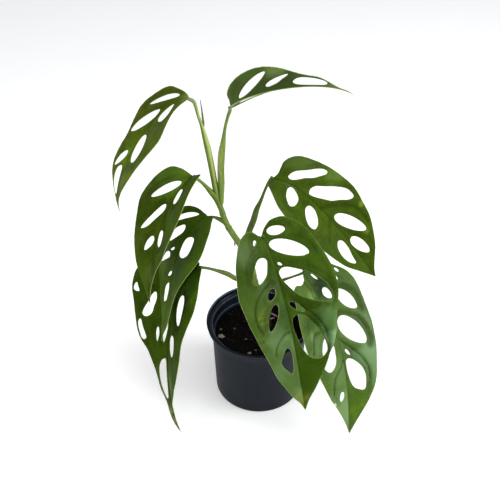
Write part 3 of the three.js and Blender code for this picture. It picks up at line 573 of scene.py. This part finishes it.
def flat_blade(loops):
    """A flat sheet inside the first loop and outside the others, divided into square cells."""
    bm = bmesh.new()
    edges = []
    for loop in loops:
        corners = [bm.verts.new(point) for point in loop]
        edges += [bm.edges.new(pair) for pair in zip(corners, corners[1:] + corners[:1])]
    bmesh.ops.triangle_fill(bm, use_beauty=True, use_dissolve=False, edges=edges, normal=(0, 0, 1))
    for axis, normal in ((1, Vector((0, 1, 0))), (0, Vector((1, 0, 0)))):
        places = [v.co[axis] / BLADE_CELL for v in bm.verts]
        for line in range(math.ceil(min(places)), math.floor(max(places)) + 1):
            everything = bm.verts[:] + bm.edges[:] + bm.faces[:]
            bmesh.ops.bisect_plane(bm, geom=everything, dist=1e-4, plane_co=normal * line * BLADE_CELL,
                                   plane_no=normal)
    slanting = []
    for edge in bm.edges:
        run = edge.verts[0].co - edge.verts[1].co
        if not edge.is_boundary and min(abs(run.x), abs(run.y)) > 1e-3:
            slanting.append(edge)
    bmesh.ops.dissolve_edges(bm, edges=slanting, use_verts=False)
    spare = [v for v in bm.verts if not v.is_boundary and len(v.link_edges) == 2]
    bmesh.ops.dissolve_verts(bm, verts=spare)
    bmesh.ops.remove_doubles(bm, verts=bm.verts, dist=0.12)
    for face in bm.faces:
        if face.normal.z < 0:
            face.normal_flip()
    return bm


def blade(name, leaf):
    """A finely divided sheet, raised and sunk along veins, rims and creases, then bent and made solid."""
    surface = Surface(leaf)
    margin = margin_loop(leaf, surface.length)
    holes = [hole_loop(hole, side) for side, key in ((-1, "left_holes"), (1, "right_holes"))
             for hole in leaf[key]]
    bm = flat_blade([margin, *holes])
    margin_tree = tree_of(margin)
    hole_tree = tree_of([point for hole in holes for point in hole])
    shapes = [hole_shape(hole) for hole in holes for _ in hole]
    map_layer = bm.loops.layers.uv.new("blade")
    mark_layers = [bm.verts.layers.float.new(mark) for mark in MARKS]
    creases = [(width, depth, dark, tree_of(spline([flat(s, t) for s, t in read(line)], 1.0)))
               for width, depth, dark, line in leaf.get("creases", ())]
    for face in bm.faces:
        for loop in face.loops:
            loop[map_layer].uv = loop.vert.co.xy / UV_CELL
    seed = sum(map(ord, name))
    for vert in bm.verts:
        place = vert.co.copy()
        t, s = place.x, -place.y
        _, rim_index, to_hole = hole_tree.find(place)
        middle, upward = shapes[rim_index]
        to_margin = margin_tree.find(place)[2]
        off_rib = ease(abs(t), *RIB_CLEAR)
        above = ease((place - middle).dot(upward), -1.0, 1.0)
        patchy = 0.75 + 0.9 * noise.noise(Vector((t / VEIN_PATCH, s / VEIN_PATCH, seed + 5)))
        vein = (bump(to_hole, VEIN_RING, VEIN_WIDTH) * off_rib * ease(to_margin, *MARGIN_CLEAR)
                * (0.3 + 0.7 * above) * patchy)
        bend = above * bump(to_hole, 0, BEND_WIDTH)
        rim = (SWELL * (1 - above) * bump(to_hole, SWELL_AT, SWELL_WIDTH) - BEND * bend) * off_rib
        rib = -RIB_GROOVE * bump(t, 0, RIB_WIDTH) * (1 - 0.6 * s / surface.length)
        roll = -EDGE_ROLL * math.exp(-to_margin / EDGE_WIDTH)
        slow = WAVE * off_rib * noise.noise(Vector((t / WAVE_ACROSS, s / WAVE_ALONG, seed)))
        fold = shade = 0.0
        for width, depth, dark, tree in creases:
            near = bump(tree.find(place)[2], 0, width)
            fold -= depth * near
            shade = max(shade, dark * near)
        # The last is painted shade: in the creases, and on the bend down to each hole's upper rim.
        stored = (to_hole, to_margin, vein, max(shade, BEND_SHADE * bend * off_rib))
        for layer, value in zip(mark_layers, stored):
            vert[layer] = value
        relief = leaf["relief"] * (rim + slow + fold - VEIN_DEPTH * vein)
        vert.co = surface.at(s, t, rib + roll + relief) * MM
    piece = to_object(bm, name.replace("leaf", "blade"), *BLADE_SKINS[name])
    modify(piece, "thickness", "SOLIDIFY", thickness=BLADE_THICK * MM, offset=0, use_even_offset=True,
           use_quality_normals=True, material_offset=1, material_offset_rim=2)
    modify(piece, "soft edge", "BEVEL", width=SOFT_EDGE * MM, segments=2, limit_method="ANGLE",
           angle_limit=math.radians(50), harden_normals=True)
    settle(piece, "blade_green", name)


# ---------------------------------------------------------------- finishes of the plant
def blade_upper(name, leaf, deep, bright, shine, rough, light_rib):
    """Green of a blade's face: patches, fine grain, patches of tone with painted shade and painted sheen,
    painted shade in the sunken veins, creases, bends and midrib channel, a net and a paler rim.
    """
    f = Finish(name, IOR=1.45, Specular_IOR_Level=shine, Coat_Roughness=0.3)
    across = f.node("ShaderNodeUVMap", dict(uv_map="blade"))
    t = abs(f.part(across, "X")) * UV_CELL
    s = f.part(across, "Y") * -UV_CELL
    hole, margin, vein, crease_shade = map(f.stored, MARKS)
    fine = f.noise(across, 42.0, 3.0, 0.6)
    colour = f.mix(f.noise(across, 5.0, 3.0).ramp(0.3, 0.7), deep, bright)
    colour = f.mix(fine.ramp(0.45, 0.75) * 0.35, colour, tinted(bright, 1.5))
    colour = f.add_tone_and_painted_light(across, leaf, colour)
    # Painted shade: a darker green laid into the sunken veins, the creases and bends, and the channel over
    # the midrib.
    dark = tinted(deep, 0.45)
    colour = f.mix(vein * 0.4, colour, dark)
    colour = f.mix(crease_shade, colour, dark)
    net = f.cells(across, 26.0, "DISTANCE_TO_EDGE").ramp(0.06, 0.0)
    colour = f.mix(net * 0.12, colour, tinted(bright, 2.2))
    # Painted shade in the channel over the midrib.
    colour = f.mix(t.ramp(1.3, 0.3) * 0.5, colour, dark)
    start, end = light_rib
    lit = s.ramp(start - 4, start + 4) * s.ramp(end + 4, end - 4)
    colour = f.mix(t.ramp(0.7, 0.2) * lit * 0.45, colour, (0.14, 0.2, 0.03))
    rim = hole.ramp(0.9, 0.2) * 0.3 + margin.ramp(0.9, 0.2) * 0.4
    colour = f.mix(rim, colour, (0.26, 0.36, 0.1))
    sheen = leaf.get("sheen", ())
    wax = sum(f.spread(across, 0.0, *place) * weight for *place, weight in sheen)
    return f.shade(Base_Color=colour, Roughness=rough + 0.2 * fine,
                   Normal=f.raised(fine * 0.5 - net * 0.5, 0.0002),
                   Coat_Weight=wax * (0.6 + 0.4 * fine) if sheen else 0.0)


def blade_under(name, leaf, tone):
    f = Finish(name, IOR=1.4, Specular_IOR_Level=0.1)
    across = f.node("ShaderNodeUVMap", dict(uv_map="blade"))
    t = abs(f.part(across, "X")) * UV_CELL
    fine = f.noise(across, 30.0, 3.0, 0.6)
    colour = f.mix(f.noise(across, 5.0).ramp(0.3, 0.7), tone, tinted(tone, 1.3))
    # The back takes the same patches of tone, painted shade and painted sheen as the face.
    colour = f.add_tone_and_painted_light(across, leaf, colour)
    colour = f.mix(f.stored("vein") * 0.35, colour, tinted(tone, 1.7))
    colour = f.mix(t.ramp(1.3, 0.5) * 0.7, colour, (0.3, 0.4, 0.14))
    return f.shade(Base_Color=colour, Roughness=0.5 + 0.2 * fine, Normal=f.raised(fine, 0.0003))


def blade_edge():
    f = Finish("blade_edge")
    colour = f.mix(f.noise(f.place(), 300.0), (0.22, 0.32, 0.07), (0.34, 0.42, 0.13))
    return f.shade(Base_Color=colour, Roughness=0.5)


EDGE = blade_edge()
# Each blade's deep and bright green, its back, its shine, its roughness, and where its midrib is light
LOOKS = {
    "lower_right": ((0.038, 0.076, 0.010), (0.066, 0.122, 0.018), (0.06, 0.11, 0.03), 0.1, 0.36, (0, 0)),
    "front": ((0.022, 0.044, 0.003), (0.040, 0.076, 0.006), (0.06, 0.11, 0.03), 0.03, 0.38, (4, 34)),
    "lower_left": ((0.024, 0.049, 0.002), (0.039, 0.072, 0.003), (0.05, 0.08, 0.02), 0.01, 0.4, (0, 0)),
    "middle_left": ((0.034, 0.072, 0.003), (0.056, 0.106, 0.005), (0.05, 0.08, 0.02), 0.02, 0.38, (0, 0)),
    "upper_right": ((0.030, 0.054, 0.003), (0.048, 0.084, 0.004), (0.06, 0.10, 0.03), 0.03, 0.38, (0, 0)),
    "left": ((0.028, 0.052, 0.002), (0.048, 0.084, 0.004), (0.05, 0.08, 0.02), 0.02, 0.4, (98, 122)),
    "top_right": ((0.026, 0.046, 0.003), (0.044, 0.070, 0.006), (0.030, 0.050, 0.007), 0.01, 0.45, (0, 0)),
    "top_left": ((0.038, 0.060, 0.003), (0.066, 0.102, 0.004), (0.06, 0.10, 0.03), 0.03, 0.42, (0, 0)),
}
BLADE_SKINS = {}
for place, (deep, bright, under, *skin) in LOOKS.items():
    leaf, word = LEAVES["leaf_" + place], "blade_" + place
    face = blade_upper(word + "_face", leaf, deep, bright, *skin)
    BLADE_SKINS["leaf_" + place] = (face, blade_under(word + "_back", leaf, under), EDGE)


def stalk_green(name, low, high, knob, foot=None, inside=None, open_to=1.0):
    """Green skin with fine streaks, paler at the sheath, with another green at the knob under the blade.

    A foot may be brown, and the side that the sheath opens to may be paler up to a share of the length.
    """
    f = Finish(name, IOR=1.45, Specular_IOR_Level=0.2)
    skin = f.stored("skin", "Vector")
    streaks = f.noise(skin, 3.0, 4.0, 0.6)
    share = f.stored("share")
    colour = f.mix(streaks.ramp(0.3, 0.7), low, high)
    colour = f.mix(share.ramp(0.35, 0.0) * 0.35, colour, tinted(high, 1.35))
    if inside:
        open_side = f.part(skin, "X")
        along = share.ramp(0.0, 0.3) * share.ramp(open_to, open_to - 0.3)
        colour = f.mix(open_side.ramp(0.0, 0.95) * along * 0.8, colour, inside)
    colour = f.mix(share.ramp(0.92, 0.98) * 0.6, colour, knob)
    if foot:
        colour = f.mix(share.ramp(0.24, 0.16), colour, foot)
    return f.shade(Base_Color=colour, Roughness=0.38 + 0.2 * streaks, Normal=f.raised(streaks, 0.0002))


def crumbly(name, low, high, scale, shine=0.2, rough=0.85, depth=0.0008):
    """A pitted, dry skin."""
    f = Finish(name, Specular_IOR_Level=shine)
    pits = f.noise(f.place(), scale, 4.0, 0.65)
    colour = f.mix(pits.ramp(0.3, 0.7), low, high)
    return f.shade(Base_Color=colour, Roughness=rough, Normal=f.raised(pits, depth))


STALK = stalk_green("stalk_skin", (0.08, 0.13, 0.016), (0.17, 0.25, 0.035), (0.05, 0.09, 0.015))
LEFT_STALK, RIGHT_STALK = [
    stalk_green(name, (0.08, 0.13, 0.016), (0.18, 0.26, 0.04), (0.17, 0.18, 0.10), inside=(0.36, 0.43, 0.12),
        open_to=open_to)
    for name, open_to in (("left_stalk_skin", 1.1), ("right_stalk_skin", 0.8))]
YOUNG = stalk_green("young_leaf_skin", (0.07, 0.09, 0.035), (0.15, 0.18, 0.08), (0.05, 0.06, 0.03))
DARK_STALK = stalk_green("dark_stalk_skin", (0.05, 0.085, 0.010), (0.12, 0.18, 0.025), (0.04, 0.07, 0.012))
STEM = stalk_green("stem_skin", (0.13, 0.20, 0.03), (0.25, 0.34, 0.065), (0.19, 0.28, 0.055),
    foot=(0.02, 0.016, 0.01))
ROOT = crumbly("root_skin", (0.2, 0.11, 0.10), (0.52, 0.35, 0.33), 420.0, 0.5, 0.75, 0.0006)
STALK_SKINS = {
    "stalk_upper_right": DARK_STALK, "stalk_front": DARK_STALK, "stalk_lower_right": DARK_STALK,
    "stalk_top_left": LEFT_STALK, "stalk_top_right": RIGHT_STALK,
}


# ---------------------------------------------------------------- stalks, stem, roots and the young leaf
STREAK = 25  # length that one unit of a tube's own skin stands for
END_REACH, END_SIZE = 0.35, 0.6  # the rounded ends of a tube, in shares of its radius


def tube(name, path, radius_at, material, sides=14, step=2.0, groove=Vector((0, 1, 0))):
    """A straight tube of unit rings, bent along the path; radius_at(share, turn, height) shapes its skin."""
    line = spline([Vector(p) for p in path], step)
    reached = running_length(line)
    last = len(line) - 1
    bm = bmesh.new()
    ring = bmesh.ops.create_circle(bm, cap_ends=True, segments=sides, radius=1.0)["verts"]
    rim = list({edge for vert in ring for edge in vert.link_edges})
    for _ in range(len(line) + 1):
        grown = bmesh.ops.extrude_edge_only(bm, edges=rim)["geom"]
        rim = [part for part in grown if isinstance(part, bmesh.types.BMEdge)]
        verts = [part for part in grown if isinstance(part, bmesh.types.BMVert)]
        bmesh.ops.translate(bm, verts=verts, vec=(0, 0, 1))
    bmesh.ops.contextual_create(bm, geom=rim)
    share_layer = bm.verts.layers.float.new("share")
    skin_layer = bm.verts.layers.float_vector.new("skin")
    frames = []
    for i, point in enumerate(line):
        along = (line[min(i + 1, last)] - line[max(i - 1, 0)]).normalized()
        front = (groove - along * groove.dot(along)).normalized()
        frames.append((point, along, front, along.cross(front)))
    for vert in bm.verts:
        station = round(vert.co.z)
        i = min(max(station - 1, 0), last)
        share = reached[i] / reached[-1]
        point, along, front, beside = frames[i]
        turn = math.atan2(vert.co.y, vert.co.x)
        radius = radius_at(share, turn, point.z)
        beyond = 0.0
        if station in (0, last + 2):
            beyond = (-END_REACH if station == 0 else END_REACH) * radius
            radius *= END_SIZE
        vert[share_layer] = share
        vert[skin_layer] = (math.cos(turn), math.sin(turn), reached[i] / STREAK)
        vert.co = (point + along * beyond + (front * math.cos(turn) + beside * math.sin(turn)) * radius) * MM
    bmesh.ops.recalc_face_normals(bm, faces=bm.faces)
    return to_object(bm, name, material)


def sheathed(foot, sheath, end):
    """A stalk is widest at its sheath, which is open down the front, and ends in a knob under the blade."""
    def radius(share, turn, height):
        wide = foot + (sheath - foot) * ease(share, 0, 0.25)
        taper = wide + (end - wide) * ease(share, 0.5, 0.82)
        channel = 1 - ease(share, 0.5, 0.72)
        lips = 0.13 * bump(abs(turn), 0.75, 0.3) - 0.3 * bump(turn, 0, 0.42)
        knob = 0.3 * bump(share, 0.955, 0.045)
        return taper * (1 + channel * lips) + knob
    return radius


def stem_radius(share, turn, height):
    """The stem swells at each joint, has a waist under it and carries faint ribs."""
    place = share * (len(STEM_RADII) - 1)
    i = min(int(place), len(STEM_RADII) - 2)
    plain = STEM_RADII[i] + (STEM_RADII[i + 1] - STEM_RADII[i]) * (place - i)
    joint = max(bump(height, z, 1.5) for z in STEM_JOINTS)
    waist = max(bump(height, z + 3.2, 1.6) for z in STEM_JOINTS)
    ribs = 0.06 * math.cos(5 * turn + 0.03 * height)
    return plain + 0.5 * joint - 0.15 * waist + ribs


def rolled(share, turn, height):
    """A leaf still rolled up: one edge lies over the turn below it, and it comes to a point."""
    foot, tip = 1.3, 0.3
    lap = ((turn / (2 * math.pi) + 1.6 * share) % 1.0) * 0.28
    return (foot + (tip - foot) * share) * (0.86 + lap) * (0.4 + 0.6 * ease(share, 0, 0.25))


def root_radius(share, turn, height):
    return (1.25 - 0.6 * share) * (1 + 0.16 * math.sin(3 * turn + 9 * share) + 0.1 * math.sin(31 * share))


# ---------------------------------------------------------------- pot
def arc(centre, radius, start, end, steps):
    """Points of an arc in the pot's section, in degrees from straight out."""
    angles = [math.radians(start + (end - start) * i / steps) for i in range(steps + 1)]
    return [(centre[0] + radius * math.cos(a), centre[1] + radius * math.sin(a)) for a in angles]


def pot_body(material):
    """The wall's section, as (radius, height), turned round the pot's axis over a floor with drain holes."""
    outside = [(FLOOR_RADIUS, 0.0), (49.6, 0.25), (50.5, 0.9), (50.9, 1.8), (WALL_LOW, 3.0),
               *[(WALL_LOW + (WALL_TOP - WALL_LOW) * i / 8, 3 + 91 * i / 8) for i in range(1, 9)],
               (54.3, 94.5), (55.4, 94.7), (58.2, 94.9), *arc((58.2, 95.7), 0.8, -70, 0, 3), (59.0, 98.6)]
    bead = arc((58.6, 100.6), 1.4, -58, 200, 14)
    inside = [(57.1, 99.2), (56.9, 97.4), (56.7, 96.6), (54.6, 96.2), (53.2, 95.9), (52.7, 95.2),
              (52.2, 85.6), (51.9, 84.9), (50.6, 84.6), (50.3, 84.0),
              *[(50.3 - 0.8 * i / 6, 84 - 81 * i / 6) for i in range(1, 7)], (49.3, 2.1),
              (FLOOR_RADIUS, FLOOR_THICK)]
    bm = bmesh.new()
    section = [bm.verts.new((r * MM, 0, z * MM)) for r, z in [*outside, *bead, *inside]]
    edges = [bm.edges.new(pair) for pair in zip(section, section[1:])]
    bmesh.ops.spin(bm, geom=section + edges, axis=(0, 0, 1), cent=(0, 0, 0), angle=2 * math.pi,
                   steps=POT_STEPS, use_merge=True)
    add_floor(bm, FLOOR_RADIUS * MM, FLOOR_THICK * MM)
    bmesh.ops.remove_doubles(bm, verts=bm.verts, dist=1e-6)
    bmesh.ops.recalc_face_normals(bm, faces=bm.faces)
    return to_object(bm, "pot_shell", material)


def add_floor(bm, radius, thick):
    """The pot's floor with its drain holes, welded to the wall at its edge."""
    rims = bmesh.ops.create_circle(bm, cap_ends=False, segments=POT_STEPS, radius=radius)["verts"]
    for i in range(DRAINS):
        turn = 2 * math.pi * (i + 0.5) / DRAINS
        hole = bmesh.ops.create_circle(bm, cap_ends=False, segments=24, radius=DRAIN_RADIUS * MM)["verts"]
        centre = Vector((math.cos(turn), math.sin(turn), 0)) * DRAIN_CIRCLE * MM
        bmesh.ops.translate(bm, verts=hole, vec=centre)
        rims += hole
    edges = list({edge for vert in rims for edge in vert.link_edges})
    filled = bmesh.ops.triangle_fill(bm, use_beauty=True, use_dissolve=False, edges=edges, normal=(0, 0, 1))
    faces = [part for part in filled["geom"] if isinstance(part, bmesh.types.BMFace)]
    raised = bmesh.ops.extrude_face_region(bm, geom=faces)["geom"]
    upper = [part for part in raised if isinstance(part, bmesh.types.BMVert)]
    bmesh.ops.translate(bm, verts=upper, vec=(0, 0, thick))
    skirt = [face for face in bm.faces if all(abs(v.co.xy.length - radius) < 1e-6 for v in face.verts)
             and len({round(v.co.z, 5) for v in face.verts}) == 2]
    bmesh.ops.delete(bm, geom=skirt, context="FACES")


# ---------------------------------------------------------------- soil and what lies in it
def soil_height(x, y):
    """Top of the soil in the frame: a low dome with lumps."""
    r = math.hypot(x, y)
    lumps = math.sin(x / 5.1 + 0.6) * math.cos(y / 4.3) + 0.7 * math.sin((x + 2 * y) / 7.3)
    return SOIL_TOP + SOIL_DOME * (1 - r * r / 2600) + 0.6 * lumps * min(1.0, max(0.0, (50 - r) / 8))


def soil_bed(material):
    """The soil's section turned round, then its top raised in lumps and clods."""
    top = [(r * 0.9, 0.0) for r in range(56)]
    section = [*top, (50.3, -1.4), (50.1, -2.4), (48.5, 5.5 - SOIL_TOP), (47.2, 3.6 - SOIL_TOP),
               (45.4, 2.2 - SOIL_TOP), (0.0, 2.2 - SOIL_TOP)]
    bm = bmesh.new()
    line = [bm.verts.new((r, 0, z)) for r, z in section]
    edges = [bm.edges.new(pair) for pair in zip(line, line[1:])]
    bmesh.ops.spin(bm, geom=line + edges, axis=(0, 0, 1), cent=(0, 0, 0), angle=2 * math.pi, steps=150,
                   use_merge=True)
    bmesh.ops.remove_doubles(bm, verts=bm.verts, dist=1e-4)
    for vert in bm.verts:
        x, y, z = vert.co
        if z > -0.5:
            coarse = noise.noise(Vector((x / 5, y / 5, 1.0)))
            grain = noise.noise(Vector((x / 1.7, y / 1.7, 7.0)))
            settled = 1 - ease(math.hypot(x, y), 44, 50)
            z = soil_height(x, y) - SOIL_TOP + (0.9 * coarse + 0.7 * grain) * (0.3 + 0.7 * settled) - 0.3
        vert.co = Vector((x, y, z + SOIL_TOP)) * MM
    bmesh.ops.recalc_face_normals(bm, faces=bm.faces)
    return to_object(bm, "soil_bed", material)


def lump(bm, centre, sizes, seed, fineness):
    """A rough lump: a small ball pushed in and out, stretched, turned by its seed and set down."""
    verts = bmesh.ops.create_icosphere(bm, subdivisions=fineness, radius=1.0)["verts"]
    turned = Matrix.Rotation(seed * 1.7, 3, "Z") @ Matrix.Rotation(seed * 0.9, 3, "X")
    for vert in verts:
        push = 1 + 0.5 * noise.noise(vert.co * 1.4 + Vector((seed * 3.1, 0, seed)))
        shaped = turned @ (vert.co * push)
        vert.co = (Vector(centre) + Vector(a * b for a, b in zip(shaped, sizes))) * MM


def loose_lump(name, place, sizes, material):
    bm = bmesh.new()
    lump(bm, place, sizes, len(name) + sum(map(ord, name)) % 17, 3)
    return to_object(bm, name, material)


def crumbs(name, count, low, high, material, clear, seed):
    """Loose grains of the mix over the soil, one piece, clear of what already lies there."""
    draw = random.Random(seed)
    bm = bmesh.new()
    while count:
        r, turn = SOIL_REACH * math.sqrt(draw.random()), 2 * math.pi * draw.random()
        x, y = r * math.cos(turn), r * math.sin(turn)
        size = low + (high - low) * draw.random() ** 2
        if any(math.hypot(x - cx, y - cy) < cr + size for cx, cy, cr in clear) or r + size > SOIL_REACH + 1:
            continue
        sizes = [size * draw.uniform(*ends) for ends in ((0.7, 1.5), (0.6, 1.1), (0.4, 0.8))]
        lump(bm, (x, y, soil_height(x, y) + 0.15 * size), sizes, draw.uniform(0, 9), 1)
        count -= 1
    return to_object(bm, name, material)


# ---------------------------------------------------------------- finishes of the pot and the mix
def pot_plastic():
    """Thin dark plastic: turning lines, soft scuffs, painted highlights along the ledges and the back of the
    rim, and specks of dust low on the wall.
    """
    f = Finish("pot_plastic", IOR=1.5, Specular_IOR_Level=0.12, Coat_Roughness=0.16)
    place = f.place()
    scuff = f.noise(f.stretched(place, (40.0, 40.0, 12.0)), 1.0, 4.0, 0.6)
    lines = f.noise(f.stretched(place, (3.0, 3.0, 900.0)), 1.0, 2.0)
    colour = f.mix(scuff.ramp(0.3, 0.75), (0.004, 0.007, 0.012), (0.009, 0.013, 0.021))
    height = f.part(place, "Z")
    back = f.part(place, "Y").ramp(-0.01, 0.03)
    outward = f.stretched(place, (1, 1, 0))
    radius = f.node("ShaderNodeVectorMath", dict(operation="LENGTH"), [outward], "Value")
    collar = height.ramp(0.0950, 0.0953) * radius.ramp(0.0574, 0.0566)
    within = collar.maths("MAXIMUM", collar, (radius - 0.033 * height).ramp(0.0504, 0.0500))
    colour = f.mix(within * 0.8, colour, (0.006, 0.009, 0.021))
    # Painted highlights: pale bluish bands along the two inner ledges and along the rim's top at the back,
    # broken up by the scuffs.
    highlight_breakup = scuff.ramp(0.3, 0.65) * 0.75 + 0.25
    for level, width, side, pale in ((LIP_LEDGE, 0.5, within, 1.0), (LOW_LEDGE, 0.8, within, 0.8),
                                     (RIM_TOP, 0.7, back, 1.9)):
        ledge_highlight = abs(height - level * MM).ramp(width * MM, 0.3 * width * MM)
        colour = f.mix(ledge_highlight * side * highlight_breakup, colour, tinted((0.085, 0.105, 0.155), pale))
    grain = f.cells(place, 210.0, "F1").ramp(0.12, 0.06)
    rare = f.noise(place, 90.0, 1.0).ramp(0.66, 0.7)
    colour = f.mix(grain * rare * height.ramp(0.05, 0.01), colour, (0.45, 0.45, 0.42))
    return f.shade(Base_Color=colour, Roughness=0.4 + 0.14 * scuff + 0.1 * lines,
                   Coat_Weight=height.ramp(0.09, 0.099) * within * (0.3 + 0.6 * scuff),
                   Normal=f.raised(lines * 0.4 + scuff * 0.6, 0.00012))


def damp_soil(low, high):
    f = Finish("soil_mix", Specular_IOR_Level=0.1)
    place = f.place()
    grain = f.noise(place, 700.0, 4.0, 0.7)
    clods = f.noise(place, 160.0, 3.0, 0.6)
    colour = f.mix(clods.ramp(0.35, 0.7), low, high)
    colour = f.mix(grain.ramp(0.62, 0.8) * 0.5, colour, tinted(high, 3))
    rough = f.raised((grain + clods) * 0.5, 0.0012)
    return f.shade(Base_Color=colour, Roughness=0.75 + 0.2 * grain, Normal=rough)


POT = pot_plastic()
SOIL = damp_soil((0.0015, 0.001, 0.0008), (0.0036, 0.0022, 0.0016))
CRUMB = crumbly("crumb_mix", (0.0022, 0.0015, 0.0012), (0.010, 0.006, 0.0045), 350.0)
GRAIN = crumbly("perlite", (0.06, 0.045, 0.035), (0.26, 0.22, 0.19), 500.0)
BARK = crumbly("bark", (0.14, 0.09, 0.075), (0.55, 0.44, 0.40), 380.0)

# ---------------------------------------------------------------- the object
for name, leaf in LEAVES.items():
    blade(name, leaf)

for name, (radii, groove, path) in STALKS.items():
    ends_at = Surface(LEAVES[name.replace("stalk", "leaf")]).at(0, 2, -BLADE_THICK / 2)
    piece = tube(name.replace("stalk", "petiole"), [*read(path), ends_at], sheathed(*radii),
                 STALK_SKINS.get(name, STALK), groove=Vector(groove))
    settle(piece, "stalk_green", name)

settle(tube("main_stem", read(STEM_PATH), stem_radius, STEM, sides=24, step=1.2), "stem_green", "stem")
settle(tube("young_leaf", read(SPEAR_PATH), rolled, YOUNG, sides=20, step=1.0), "stalk_green", "spear")
for name, path in ROOT_PATHS.items():
    piece = tube(name.replace("root", "aerial_root"), read(path), root_radius, ROOT, sides=12, step=0.8)
    settle(piece, "root_tan", name)

settle(pot_body(POT), "pot_plastic", "pot")
settle(soil_bed(SOIL), "soil_mix", "soil")
clear = [STEM_FOOT]
for name, (x, y, size, squash) in CRUMBS.items():
    sizes = (1.15 * size, 0.85 * size, squash * size)
    slot, skin = ("bark", BARK) if name.startswith("bark") else ("perlite", GRAIN)
    place = (x, y, soil_height(x, y) + 0.7 * size * squash)
    settle(loose_lump(name + "_lump", place, sizes, skin), slot, name)
    clear.append((x, y, size))
settle(crumbs("soil_crumbs", 520, 0.5, 2.1, CRUMB, clear, 4), "soil_mix")
settle(crumbs("perlite_grains", 26, 0.3, 0.75, GRAIN, clear, 9), "perlite")


# ---------------------------------------------------------------- floor, light and camera
VIEW_FROM, VIEW_TILT, VIEW_LENS = (-0.0104, -0.6608, 0.7347), 51.16, 57.6  # metres, degrees, millimetres


def pale_floor():
    f = Finish("pale_floor", Emission_Color=(1.0, 1.0, 1.0, 1.0), Emission_Strength=0.3)
    soft = f.noise(f.place(), 6.0, 2.0)
    f.shade(Base_Color=f.mix(soft, (0.86, 0.86, 0.86), (0.9, 0.9, 0.9)), Roughness=0.8)
    bm = bmesh.new()
    bmesh.ops.create_grid(bm, x_segments=1, y_segments=1, size=6.0)
    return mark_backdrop(to_object(bm, "floor", f.material))


def soft_light(name, place, aim_height, size, watts, colour):
    lamp = bpy.data.lights.new(name, "AREA")
    lamp.shape = "DISK"
    lamp.size = size
    lamp.energy = watts
    lamp.color = colour
    holder = bpy.data.objects.new(name, lamp)
    holder.location = place
    holder.rotation_euler = (Vector((0, 0, aim_height)) - Vector(place)).to_track_quat("-Z", "Y").to_euler()
    bpy.context.scene.collection.objects.link(holder)


def studio():
    world = bpy.data.worlds.new("studio")
    world.use_nodes = True
    sky = world.node_tree.nodes["Background"]
    sky.inputs["Color"].default_value = (0.95, 0.97, 1.0, 1.0)
    sky.inputs["Strength"].default_value = 0.36
    bpy.context.scene.world = world
    bpy.context.scene.view_settings.view_transform = "Standard"
    soft_light("window", (1.3, -0.35, 0.85), 0.2, 0.9, 21.0, (0.94, 0.98, 1.0))
    soft_light("overhead", (0.1, -0.4, 1.8), 0.2, 1.2, 16.0, (1.0, 1.0, 1.0))
    soft_light("left", (-1.2, -0.7, 0.8), 0.15, 0.9, 7.0, (1.0, 0.97, 0.92))


def camera():
    lens = bpy.data.cameras.new("view")
    lens.sensor_width = 36.0
    lens.lens = VIEW_LENS
    lens.clip_end = 20.0
    holder = bpy.data.objects.new("view", lens)
    holder.location = VIEW_FROM
    holder.rotation_euler = (math.radians(VIEW_TILT), 0.0, 0.0)
    bpy.context.scene.collection.objects.link(holder)
    bpy.context.scene.camera = holder


pale_floor()
studio()
camera()
